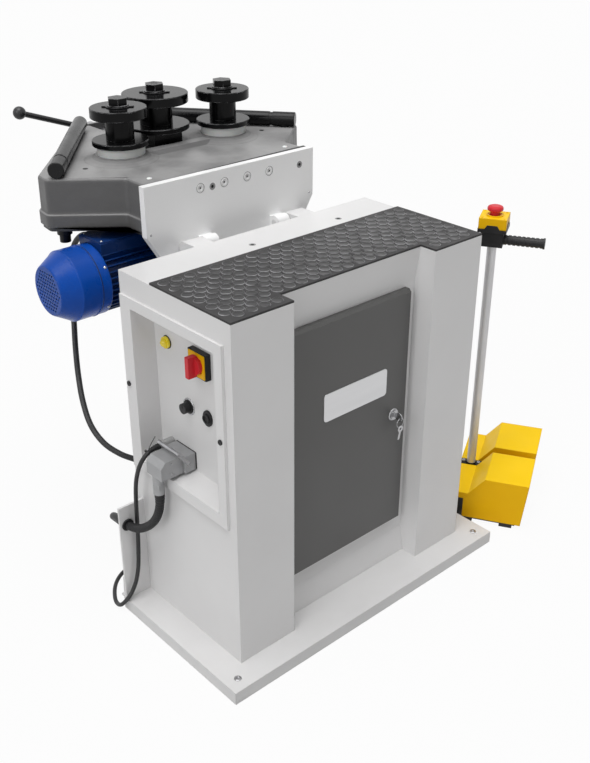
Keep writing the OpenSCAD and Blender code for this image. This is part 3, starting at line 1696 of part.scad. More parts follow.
module estop_button() {
  top = stop_z + stop_h;
  color("crimson")
    at_station() {
      rod_z([top - stop_in, top + stop_neck_h], stop_neck_r);
      translate([0, 0, top + stop_neck_h])
        rotate_extrude()
          polygon([[0, 0], [stop_r * 0.8, 0], [stop_r, stop_cap_h * 0.25], [stop_r, stop_cap_h * 0.6],
            [stop_r * 0.9, stop_cap_h * 0.85], [stop_r * 0.6, stop_cap_h], [0, stop_cap_h]]);
    }
}

base_plate();
cable_guard();
cabinet_shell();
top_mat();
control_tray();
pilot_lamp();
isolator_base();
isolator_handle();
dial_knob();
connector_housing();
connector_lever();
plug_hood();
mains_gland();
mains_cord();
mains_coil();
mains_plug();
pedal_cord();
hinge_blocks();
control_gear();
door_panel();
lock_key();
head_plate();
head_casting();
bottom_cover();
nylon_collars();
shaft_bearings();
gearbox();
motor_body();
fan_cover();
motor_fan();
motor_cord();
nut_bracket();
drive_pinion();
left_shaft();
left_gear();
left_lower_flange();
left_hub();
left_upper_flange();
right_shaft();
right_gear();
right_lower_flange();
right_hub();
right_upper_flange();
press_carriage();
press_shaft();
press_lower_flange();
press_hub();
press_upper_flange();
press_screw();
tommy_bar();
left_guide_arm();
right_guide_arm();
pedal_base();
pedal_hoods();
left_pedal();
right_pedal();
station_post();
handle_block();
estop_cover();
estop_button();
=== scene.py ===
"""Angle roll bender: the finishes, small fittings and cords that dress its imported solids."""

import math

import bmesh
import bpy
from bpy.props import FloatProperty, FloatVectorProperty, PointerProperty
from bpy.types import Operator, Panel, PropertyGroup
from mathutils import Matrix, Vector


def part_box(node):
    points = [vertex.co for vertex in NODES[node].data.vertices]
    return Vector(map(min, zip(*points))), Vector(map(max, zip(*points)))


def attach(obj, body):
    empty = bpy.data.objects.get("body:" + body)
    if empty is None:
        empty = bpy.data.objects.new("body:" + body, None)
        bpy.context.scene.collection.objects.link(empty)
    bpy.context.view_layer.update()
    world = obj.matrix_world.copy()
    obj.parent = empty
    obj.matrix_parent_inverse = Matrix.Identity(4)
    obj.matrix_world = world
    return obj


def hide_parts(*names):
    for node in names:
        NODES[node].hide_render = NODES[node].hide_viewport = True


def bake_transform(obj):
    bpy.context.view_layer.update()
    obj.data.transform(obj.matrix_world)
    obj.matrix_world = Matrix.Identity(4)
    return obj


bl_info = {
    "name": "Angle Roll Bender",
    "version": (1, 0, 0),
    "blender": (4, 5, 0),
    "location": "View3D > Sidebar > Bender",
    "description": "Dresses the solids of an angle roll bender with finishes, fittings and cords",
    "category": "Object",
}

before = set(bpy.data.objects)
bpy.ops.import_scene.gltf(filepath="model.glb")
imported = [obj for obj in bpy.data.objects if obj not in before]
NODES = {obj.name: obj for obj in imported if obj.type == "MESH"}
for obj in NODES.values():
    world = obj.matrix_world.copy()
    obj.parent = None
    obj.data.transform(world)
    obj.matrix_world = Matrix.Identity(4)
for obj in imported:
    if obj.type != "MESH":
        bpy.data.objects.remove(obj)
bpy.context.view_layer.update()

# Camera of the photograph: its place and a point that it looks at
CAMERA_AT = (-1.5397, -1.6493, 1.7949)
CAMERA_TO = (-0.4400, -0.4247, 0.9209)
SENSOR_MM = 36.0
FAR_CLIP = 60.0

# Directions
UP, DOWN = (0, 0, 1), (0, 0, -1)
FRONT, BACK = (0, -1, 0), (0, 1, 0)
LEFT, RIGHT = (-1, 0, 0), (1, 0, 0)

# Station: its middle on the floor, the directions along and across its grip, and the turn that goes with them
STATION = Vector((0.648, -0.035, 0.0))
GRIP = Vector((0.5, -0.8660, 0.0))
SIDE = Vector((0.8660, 0.5, 0.0))
STATION_TURN = math.atan2(GRIP.y, GRIP.x)

# Places of the solids that several fittings share
PLATE_FRONT = 0.295
BOLT_X = (-0.068, 0.222)
CASTING_TOP = 1.088
ROLLS = {"left": (-0.1655, 0.544), "right": (0.1655, 0.544), "press": (0.0, 0.622)}
MOTOR_Y, MOTOR_Z = 0.434, 0.841
LOCK_X, LOCK_Z = 0.151, 0.505

# Places on the control tray
TRAY_X = -0.345
SWITCH = (-0.360, -0.007, 0.770)
LAMP = (TRAY_X, 0.127, 0.774)
DIAL = (TRAY_X, 0.052, 0.633)
JACK = (TRAY_X, -0.021, 0.632)
CONNECTOR = Vector((TRAY_X, 0.074, 0.490))

# Notch in the front of the mat: half its width and its back edge
NOTCH_HALF, NOTCH_EDGE = 0.227, -0.137

# Edges are eased, and shaded sharp, from these angles on; points closer than this are one
EASED_ANGLE, SHARP_ANGLE = 0.6, 0.7
TINY = 1e-6

# Routes of the cords, as the solids have them
MAINS_ROUTE = [
    (-0.385, 0.131, 0.504), (-0.403, 0.131, 0.503), (-0.420, 0.133, 0.495), (-0.431, 0.140, 0.477),
    (-0.436, 0.152, 0.449), (-0.437, 0.165, 0.412), (-0.435, 0.176, 0.370), (-0.433, 0.183, 0.320),
    (-0.432, 0.187, 0.270), (-0.433, 0.188, 0.220), (-0.436, 0.188, 0.170), (-0.441, 0.187, 0.130),
    (-0.449, 0.187, 0.096), (-0.460, 0.188, 0.070), (-0.473, 0.190, 0.050), (-0.485, 0.197, 0.033),
    (-0.490, 0.209, 0.019), (-0.489, 0.227, 0.010), (-0.483, 0.248, 0.006), (-0.471, 0.271, 0.006),
    (-0.455, 0.294, 0.006), (-0.434, 0.315, 0.006), (-0.407, 0.332, 0.006), (-0.373, 0.342, 0.006),
    (-0.335, 0.346, 0.006), (-0.290, 0.346, 0.006), (-0.240, 0.346, 0.006), (-0.229, 0.346, 0.006),
]
LEAD_ROUTE = [
    (-0.427, 0.081, 0.411), (-0.427, 0.081, 0.390), (-0.429, 0.086, 0.356), (-0.434, 0.101, 0.322),
    (-0.441, 0.126, 0.294), (-0.448, 0.156, 0.275), (-0.452, 0.186, 0.267), (-0.453, 0.218, 0.265),
    (-0.452, 0.252, 0.260), (-0.443, 0.284, 0.243), (-0.421, 0.304, 0.212), (-0.390, 0.311, 0.170),
    (-0.352, 0.313, 0.124), (-0.310, 0.313, 0.080), (-0.262, 0.313, 0.042), (-0.210, 0.313, 0.018),
    (-0.155, 0.313, 0.0105), (-0.095, 0.313, 0.0105), (0.005, 0.313, 0.0105), (0.105, 0.313, 0.0105),
    (0.205, 0.313, 0.0105), (0.305, 0.313, 0.0105), (0.390, 0.313, 0.0105), (0.445, 0.310, 0.0105),
    (0.490, 0.296, 0.0105), (0.524, 0.268, 0.0105), (0.545, 0.230, 0.0105), (0.557, 0.185, 0.0105),
    (0.567, 0.140, 0.0105), (0.579, 0.098, 0.0105), (0.595, 0.058, 0.0105), (0.613, 0.026, 0.0105),
    (0.6249, 0.0051, 0.0105),
]
MOTOR_ROUTE = [
    (-0.300, 0.497, 0.922), (-0.300, 0.514, 0.922), (-0.302, 0.548, 0.912), (-0.307, 0.576, 0.886),
    (-0.315, 0.588, 0.848), (-0.326, 0.582, 0.800), (-0.341, 0.562, 0.745), (-0.360, 0.532, 0.690),
    (-0.384, 0.495, 0.635), (-0.408, 0.452, 0.580), (-0.427, 0.408, 0.528), (-0.436, 0.364, 0.481),
    (-0.428, 0.322, 0.444), (-0.405, 0.288, 0.418), (-0.379, 0.264, 0.402), (-0.360, 0.247, 0.394),
    (-0.352, 0.230, 0.391),
]

# Coil of the mains lead: middle, radius, distance of the strands, turns on each layer and radius of the plug
COIL_MID = (-0.225, 0.430, 0.006)
COIL_R = 0.084
COIL_STEP = 0.012
COIL_TURNS = 3
PLUG_R = 0.027


def colour(name, about, default):
    """Property that holds a colour"""
    return FloatVectorProperty(name=name, description=about, subtype="COLOR", size=3,
                               min=0.0, max=1.0, default=default)


def length(name, about, default):
    """Property that holds a length in metres"""
    return FloatProperty(name=name, description=about, subtype="DISTANCE", unit="LENGTH",
                         min=0.0, default=default)


def strength(name, about, default):
    """Property that holds the strength of a light"""
    return FloatProperty(name=name, description=about, min=0.0, default=default)


class BenderFinishes(PropertyGroup):
    """Colours of the finishes, in linear light"""
    enamel: colour("Enamel", "Paint of the cabinet, base and head plate", (0.76, 0.755, 0.755))
    door: colour("Door", "Paint of the door", (0.081, 0.080, 0.078))
    # The casting colour is the tone of the head's shaded sides; its finish paints the top lighter as painted
    # light
    casting: colour("Casting", "Paint of the cast head", (0.118, 0.117, 0.118))
    mat: colour("Mat", "Rubber of the mat on the cabinet", (0.037, 0.036, 0.037))
    oxide: colour("Oxide", "Blackened steel of the rolls and arms", (0.0040, 0.0040, 0.0044))
    steel: colour("Steel", "Bright steel", (0.42, 0.42, 0.43))
    alloy: colour("Alloy", "Satin aluminium of the post and the bare plates", (0.66, 0.66, 0.67))
    nylon: colour("Nylon", "White plastic of the roll collars", (0.86, 0.86, 0.84))
    blue: colour("Motor blue", "Paint of the motor and gearbox", (0.005, 0.062, 0.33))
    yellow: colour("Yellow", "Plastic of the hoods and the stop box", (0.97, 0.62, 0.006))
    red: colour("Red", "Plastic of the stop button and the switch handle", (0.66, 0.030, 0.042))
    black: colour("Black", "Black plastic", (0.018, 0.018, 0.019))
    grey: colour("Grey", "Grey plastic of the glands", (0.33, 0.33, 0.33))
    plug: colour("Plug", "Die-cast housing of the multi-pole plug", (0.35, 0.353, 0.36))
    rubber: colour("Rubber", "Sheath of the cords", (0.014, 0.014, 0.015))


class BenderSizes(PropertyGroup):
    """Sizes of the small pieces"""
    stud_d: length("Stud", "Diameter of a stud of the mat", 0.027)
    stud_pitch: length("Stud pitch", "Distance of the studs in a row", 0.036)
    stud_row: length("Stud rows", "Distance of the rows of studs", 0.0215)
    stud_rise: length("Stud rise", "Height of a stud above the mat", 0.0017)
    plate_w: length("Door plate width", "Width of the bare plate on the door", 0.215)
    plate_h: length("Door plate height", "Height of the bare plate on the door", 0.075)
    mains_d: length("Mains lead", "Diameter of the mains lead", 0.011)
    lead_d: length("Pedal lead", "Diameter of the pedal lead", 0.020)
    motor_d: length("Motor lead", "Diameter of the motor lead", 0.015)
    tie_w: length("Tie width", "Width of a cable tie", 0.0045)


class BenderStage(PropertyGroup):
    """Camera, floor and light"""
    lens: FloatProperty(name="Lens", description="Focal length for a 36 mm sensor", unit="CAMERA",
                        default=47.615)
    key: strength("Key light", "Strength of the light from the left", 0.70)
    top: strength("Top light", "Strength of the light from above", 2.55)
    sky: strength("Surround", "Strength of the even light all round", 0.15)
    floor: length("Floor", "Width of the floor", 60.0)


def merged(*parts):
    """One list of points and faces from several"""
    points, faces = [], []
    for some, more in parts:
        start = len(points)
        points += [Vector(p) for p in some]
        faces += [[start + i for i in f] for f in more]
    return points, faces


def moved(part, at=(0, 0, 0), axis=UP, turn=0.0):
    """A shape made about Z, laid along an axis at a place"""
    way = Vector(UP).rotation_difference(Vector(axis).normalized()).to_matrix().to_4x4()
    place = Matrix.Translation(Vector(at)) @ way @ Matrix.Rotation(turn, 4, "Z")
    return [place @ Vector(p) for p in part[0]], part[1]


def angles(count):
    """Even steps all round"""
    return [2 * math.pi * k / count for k in range(count)]


def circle(r, count):
    """Outline of a round, or of a shape with even corners"""
    return [(r * math.cos(a), r * math.sin(a)) for a in angles(count)]


def skin(rows, n, closed=False):
    """Faces between rows of n points, each row a ring; closed joins the last row to the first"""
    return [[i * n + k, i * n + (k + 1) % n, (i + 1) % rows * n + (k + 1) % n, (i + 1) % rows * n + k]
            for i in range(rows if closed else rows - 1) for k in range(n)]


def lids(rows, n):
    """Faces that close the first and the last of the rows"""
    return [list(range(n))[::-1], list(range((rows - 1) * n, rows * n))]


def hollow(outer, inner, low, high):
    """Solid between two outlines of as many points, from one height to another"""
    rows = (outer, low), (outer, high), (inner, high), (inner, low)
    return [Vector((u, v, h)) for outline, h in rows for u, v in outline], skin(4, len(outer), closed=True)


def turned(profile, count, closed=False):
    """Shape turned about Z from pairs of radius and height"""
    points, faces, rings = [], [], []
    for r, h in profile:
        row = circle(r, count if r > TINY else 1)
        rings.append(range(len(points), len(points) + len(row)))
        points += [Vector((x, y, h)) for x, y in row]
    pairs = list(zip(rings, rings[1:])) + ([(rings[-1], rings[0])] if closed else [])
    for a, b in pairs:
        for k in range(count):
            quad = [a[k % len(a)], a[(k + 1) % len(a)], b[(k + 1) % len(b)], b[k % len(b)]]
            face = list(dict.fromkeys(quad))
            if len(face) > 2:
                faces.append(face)
    return points, faces


def hoop(profile, count):
    """Ring turned about Z from a profile that closes on itself"""
    return turned(profile, count, closed=True)


def prism(outline, low, high, inset=0.0):
    """Solid between two heights over an outline, with its upper edge drawn in"""
    n = len(outline)
    mid = sum((Vector(p) for p in outline), Vector((0, 0))) / n
    levels = [(low, 0.0), (high - inset, 0.0), (high, inset)] if inset else [(low, 0.0), (high, 0.0)]
    points = []
    for h, by in levels:
        for p in outline:
            d = Vector(p) - mid
            q = mid + d * (1 - by / max(d.length, TINY))
            points.append(Vector((q.x, q.y, h)))
    return points, lids(len(levels), n) + skin(len(levels), n)


def round_rect(w, h, r, steps=5):
    """Outline of a plate with round corners"""
    out = []
    for k, (sx, sy) in enumerate(((1, 1), (-1, 1), (-1, -1), (1, -1))):
        for i in range(steps + 1):
            a = math.pi / 2 * (k + i / steps)
            out.append((sx * (w / 2 - r) + r * math.cos(a), sy * (h / 2 - r) + r * math.sin(a)))
    return out


def pad(w, h, r, low, high, inset=0.0):
    """Plate with round corners between two heights"""
    return prism(round_rect(w, h, r), low, high, inset)


def block(low, high):
    """Box between two corners"""
    (x0, y0, z0), (x1, y1, z1) = low, high
    return prism([(x0, y0), (x1, y0), (x1, y1), (x0, y1)], z0, z1)


def smooth_points(route, steps=6):
    """Points of the smooth line through a route"""
    p = [Vector(q) for q in route]
    out = []
    for i in range(len(p) - 1):
        a, b, c, d = p[max(i - 1, 0)], p[i], p[i + 1], p[min(i + 2, len(p) - 1)]
        for k in range(steps):
            t = k / steps
            out.append(0.5 * (2 * b + (c - a) * t + (2 * a - 5 * b + 4 * c - d) * t * t
                              + (3 * b - a - 3 * c + d) * t ** 3))
    return out + [p[-1]]


def tube(points, radius, count):
    """Round tube along points; radius is a number or a function of the share of the way"""
    p = [Vector(q) for q in points]
    run = [0.0]
    for a, b in zip(p, p[1:]):
        run.append(run[-1] + (b - a).length)
    side, verts = None, []
    for i, q in enumerate(p):
        way = (p[min(i + 1, len(p) - 1)] - p[max(i - 1, 0)]).normalized()
        if side is None:
            side = way.orthogonal().normalized()
        side = (side - side.dot(way) * way).normalized()
        over = way.cross(side)
        r = radius(run[i] / run[-1]) if callable(radius) else radius
        verts += [q + u * side + v * over for u, v in circle(r, count)]
    return verts, skin(len(p), count) + lids(len(p), count)


def linked(name, data):
    """New object in the scene"""
    obj = bpy.data.objects.new(name, data)
    bpy.context.scene.collection.objects.link(obj)
    return obj


def clean_mesh(name, part, bevel=0.0):
    """Mesh of a shape: doubles merged, faces outwards, sharp edges eased"""
    mesh = bpy.data.meshes.new(name)
    mesh.from_pydata([tuple(p) for p in part[0]], [], part[1])
    work = bmesh.new()
    work.from_mesh(mesh)
    bmesh.ops.remove_doubles(work, verts=work.verts, dist=TINY)
    bmesh.ops.recalc_face_normals(work, faces=work.faces)
    if bevel:
        edges = [e for e in work.edges if len(e.link_faces) == 2 and e.calc_face_angle(0.0) > EASED_ANGLE]
        bmesh.ops.bevel(work, geom=edges, offset=bevel, segments=2, profile=0.5, affect="EDGES",
                        clamp_overlap=True)
    work.to_mesh(mesh)
    work.free()
    return mesh


def dressed(name, mesh, finish, body):
    """Piece from a finished mesh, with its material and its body"""
    mesh.shade_smooth()
    mesh.set_sharp_from_angle(angle=SHARP_ANGLE)
    mesh.materials.clear()
    mesh.materials.append(FINISHES[finish])
    obj = linked(name, mesh)
    if body:
        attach(obj, body)
    return obj


def solid(name, part, finish, body="machine", bevel=0.0):
    """Piece of one shape"""
    return dressed(name, clean_mesh(name, part, bevel), finish, body)


def cap_screw(h, socket, deep, count=24):
    """Cylinder head with a hexagon socket, of radius one before it is scaled"""
    step = math.pi / 3
    hexagon = [socket * math.cos(step / 2) / math.cos(a % step - step / 2) for a in angles(count)]
    rows = [([1.0] * count, 0.0), ([1.0] * count, h * 0.82), ([0.9] * count, h),
            (hexagon, h), (hexagon, h - deep)]
    points = [Vector((r * u, r * v, z)) for radii, z in rows for r, (u, v) in zip(radii, circle(1.0, count))]
    return points, skin(len(rows), count) + lids(len(rows), count)


def hex_head(h):
    """Hexagon head on its washer, with its corners turned off, of radius one"""
    washer = turned([(0, 0), (1.15, 0), (1.15, 0.12 * h), (1.08, 0.17 * h), (0, 0.17 * h)], 24)
    return merged(prism(circle(1.0, 6), 0.16 * h, h, inset=0.12), washer)


def pan_head(h=0.55):
    """Low round head with a cross recess, of radius one"""
    dome = turned([(0, 0), (1, 0), (0.97, h * 0.35), (0.8, h * 0.75), (0.55, h * 0.95), (0, h)], 20)
    arms = [prism(round_rect(w, d, 0.05, 1), h * 0.9, h * 1.03) for w, d in ((0.9, 0.2), (0.2, 0.9))]
    return merged(dome, *arms)


def rivet(h):
    """Plain round head of radius one"""
    return turned([(0, 0), (1, 0), (0.95, h * 0.4), (0.75, h * 0.75), (0.4, h * 0.95), (0, h)], 16)


def louvre(length, high, deep, upright=False):
    """Pressed air slot that opens towards Y, or towards X when upright, and a dark block in its mouth that
    paints the shade inside
    """
    ends = [(t * high, math.sqrt(1 - (1 - t) ** 2)) for t in (0.0, 0.1, 0.3, 0.6, 1.0)]
    stations = [(x - length / 2, f) for x, f in ends] + [(length / 2 - x, f) for x, f in reversed(ends)]
    section = [(-0.5, 0.0), (-0.25, 0.42), (0.0, 0.75), (0.25, 0.94), (0.5, 1.0), (0.5, 0.0)]
    points = [Vector((x, v * high, f * h * deep)) for x, f in stations for v, h in section]
    mouth = block((high - length / 2, high / 2, 0.0002), (length / 2 - high, high / 2 + 0.0004, 0.85 * deep))
    parts = (points, skin(len(stations), len(section))), mouth
    return [([p.yxz for p in some], more) for some, more in parts] if upright else parts


def add_node(tree, kind, inputs=None, **props):
    """Node of a tree; an input takes a plain value or another node's output"""
    made = tree.nodes.new(kind)
    for key, value in props.items():
        setattr(made, key, value)
    for key, value in (inputs or {}).items():
        if isinstance(value, bpy.types.NodeSocket):
            tree.links.new(value, made.inputs[key])
        else:
            made.inputs[key].default_value = value
    return made


def fastener_tree():
    """Tree that sets a shape on each point, along the point's own direction"""
    found = bpy.data.node_groups.get("set_fasteners")
    if found:
        return found
    tree = bpy.data.node_groups.new("set_fasteners", "GeometryNodeTree")
    tree.is_modifier = True
    for label, way, kind in (("Geometry", "OUTPUT", "Geometry"), ("Geometry", "INPUT", "Geometry"),
                             ("Shape", "INPUT", "Object"), ("Finish", "INPUT", "Material")):
        tree.interface.new_socket(label, in_out=way, socket_type="NodeSocket" + kind)
    given = add_node(tree, "NodeGroupInput").outputs
    facing = add_node(tree, "GeometryNodeInputNamedAttribute", {"Name": "facing"}, data_type="FLOAT_VECTOR")
    size = add_node(tree, "GeometryNodeInputNamedAttribute", {"Name": "size"}, data_type="FLOAT")
    align = add_node(tree, "FunctionNodeAlignRotationToVector", {
        "Vector": facing.outputs["Attribute"]},
        axis="Z")
    shape = add_node(tree, "GeometryNodeObjectInfo", {"Object": given["Shape"]})
    place = add_node(tree, "GeometryNodeInstanceOnPoints", {
        "Points": given["Geometry"], "Instance": shape.outputs["Geometry"],
        "Rotation": align.outputs["Rotation"], "Scale": size.outputs["Attribute"]})
    real = add_node(tree, "GeometryNodeRealizeInstances", {"Geometry": place.outputs["Instances"]})
    paint = add_node(tree, "GeometryNodeSetMaterial", {
        "Geometry": real.outputs["Geometry"], "Material": given["Finish"]})
    add_node(tree, "NodeGroupOutput", {"Geometry": paint.outputs["Geometry"]})
    return tree


def fasteners(name, part, places, finish, body="machine"):
    """Like shapes as one piece, at several places: point, direction and size of each"""
    mesh = bpy.data.meshes.new(name + "_places")
    mesh.from_pydata([tuple(p) for p, _, _ in places], [], [])
    mesh.attributes.new("facing", "FLOAT_VECTOR", "POINT")
    mesh.attributes.new("size", "FLOAT", "POINT")
    for i, (_, way, scale) in enumerate(places):
        mesh.attributes["facing"].data[i].vector = Vector(way).normalized()
        mesh.attributes["size"].data[i].value = scale
    carrier = linked(name + "_places", mesh)
    shape = linked(name + "_shape", clean_mesh(name + "_shape", part))
    modifier = carrier.modifiers.new("build", "NODES")
    modifier.node_group = fastener_tree()
    given = {"Shape": shape, "Finish": FINISHES[finish]}
    for item in modifier.node_group.interface.items_tree:
        if item.name in given:
            modifier[item.identifier] = given[item.name]
    bpy.context.view_layer.update()
    grown = bpy.data.meshes.new_from_object(carrier.evaluated_get(bpy.context.evaluated_depsgraph_get()))
    for used in (carrier, shape):
        bpy.data.objects.remove(used)
    grown.name = name
    if not len(grown.polygons):
        raise RuntimeError(f"{name} came out empty")
    return dressed(name, grown, finish, body)


# The finishes by name: the frame has plain materials of its own
FINISHES = {}


class Finish:
    """Node material with patches, grain, eased edges, scuffs and painted light and shade, on Object
    coordinates
    """

    # Most of a noise lies between these, and most of an edge that takes another colour between these products
    # of its two normals
    SPREAD = (0.3, 0.7)
    EDGE = (0.985, 0.86)

    def __init__(self, name, base, rough, metal=0.0):
        material = FINISHES[name] = bpy.data.materials.new(name)
        material.use_nodes = True
        self.tree = material.node_tree
        self.tree.nodes.clear()
        self.shader = self.node("ShaderNodeBsdfPrincipled", {"Metallic": metal})
        self.node("ShaderNodeOutputMaterial", {"Surface": self.shader.outputs["BSDF"]})
        self.coords = self.node("ShaderNodeTexCoord").outputs["Object"]
        self.base, self.rough = tuple(base), rough
        self.colour = self.normal = None

    def node(self, kind, inputs=None, **props):
        """Node of this material"""
        return add_node(self.tree, kind, inputs, **props)

    def noise(self, scale, detail, stretch=None):
        """Cloudy pattern, perhaps drawn out along an axis"""
        source = self.coords
        if stretch:
            source = self.node("ShaderNodeMapping", {"Scale": stretch, "Vector": source}).outputs["Vector"]
        made = self.node("ShaderNodeTexNoise", {"Scale": scale, "Detail": detail, "Vector": source})
        return made.outputs["Fac"]

    def ranged(self, value, low, high, to_low=0.0, to_high=1.0):
        """Value brought from one range to another, and held within it"""
        made = self.node("ShaderNodeMapRange", {
            "Value": value, "From Min": low, "From Max": high, "To Min": to_low, "To Max": to_high})
        return made.outputs["Result"]

    def over(self, there, spots, other):
        """Another colour laid over the present one, where two shares meet"""
        share = self.node("ShaderNodeMath", {0: there, 1: spots}, operation="MULTIPLY").outputs["Value"]
        made = self.node("ShaderNodeMix", {
            "Factor": share, "A": self.colour, "B": (*other, 1.0)},
            data_type="RGBA")
        self.colour = made.outputs["Result"]
        return self

    def upward(self, low, high):
        """Share by how far the surface faces up"""
        normal = self.node("ShaderNodeNewGeometry").outputs["Normal"]
        return self.ranged(self.node("ShaderNodeSeparateXYZ", {"Vector": normal}).outputs["Z"], low, high)

    def patches(self, vary, scale, stretch=None):
        """Broad change of the colour"""
        ramp = self.node("ShaderNodeValToRGB", {"Fac": self.noise(scale, 5.0, stretch)})
        for element, place, by in zip(ramp.color_ramp.elements, self.SPREAD, (1 - vary, 1 + vary)):
            element.position = place
            element.color = (*(min(1.0, c * by) for c in self.base), 1.0)
        self.colour = ramp.outputs["Color"]
        return self

    def sheen(self, vary, scale=14.0, stretch=None):
        """Roughness that changes over the surface"""
        spots = self.noise(scale, 4.0, stretch)
        spread = self.ranged(spots, *self.SPREAD, max(0.03, self.rough - vary), self.rough + vary)
        self.tree.links.new(spread, self.shader.inputs["Roughness"])
        return self

    def edges(self, radius, wear_and_glint_tone=None, wear_and_glint_amount=0.0):
        """Edges eased by a small radius, and given another colour: scuffed, and on the rolls and arms also a
        painted highlight
        """
        self.normal = self.node("ShaderNodeBevel", {"Radius": radius}, samples=6).outputs["Normal"]
        if not wear_and_glint_tone:
            return self
        flat = self.node("ShaderNodeNewGeometry").outputs["Normal"]
        dot = self.node("ShaderNodeVectorMath", {0: self.normal, 1: flat}, operation="DOT_PRODUCT")
        edge = self.ranged(dot.outputs["Value"], *self.EDGE)
        return self.over(edge, self.ranged(self.noise(38.0, 6.0), 0.42, 0.66, 0.0, wear_and_glint_amount), wear_and_glint_tone)

    def slope_light_and_shade(self, tone, least, most, flat=0.975, steep=0.84):
        """Painted light and shade on sloping faces: another colour there, more of it in some places"""
        spots = self.ranged(self.noise(34.0, 5.0), 0.38, 0.62, least, most)
        return self.over(self.upward(flat, steep), spots, tone)

    def dust_and_top_light(self, amount, tone=(0.45, 0.43, 0.40), low=0.35, high=0.75):
        """Another tone on what faces up: a dusting, and on the cast head mostly painted light that makes its
        top lighter
        """
        spots = self.ranged(self.noise(9.0, 7.0), low, high, 0.0, amount)
        return self.over(self.upward(0.55, 1.0), spots, tone)

    def bump(self, height, depth):
        """Relief over what is there already"""
        inputs = {"Strength": 1.0, "Distance": depth, "Height": height}
        if self.normal:
            inputs["Normal"] = self.normal
        self.normal = self.node("ShaderNodeBump", inputs).outputs["Normal"]

    def bumps(self, *rows):
        """Surface relief: scale, depth in metres and perhaps the stretch of each noise"""
        for scale, depth, *stretch in rows:
            self.bump(self.noise(scale, 3.0, *stretch), depth)
        return self

    def rings(self, middle, scale, depth):
        """Fine turned rings about an upright axis"""
        source = self.node("ShaderNodeMapping", {
            "Location": middle, "Vector": self.coords},
            vector_type="TEXTURE")
        wave = self.node("ShaderNodeTexWave", {
            "Scale": scale, "Distortion": 0.6, "Vector": source.outputs["Vector"]},
            wave_type="RINGS", rings_direction="Z")
        self.bump(wave.outputs["Fac"], depth)
        return self

    def done(self, **sockets):
        """Joins what was built to the shader; plain values go on its own sockets"""
        self.tree.links.new(self.colour, self.shader.inputs["Base Color"])
        if self.normal:
            self.tree.links.new(self.normal, self.shader.inputs["Normal"])
        for key, value in sockets.items():
            self.shader.inputs[key.replace("_", " ")].default_value = value


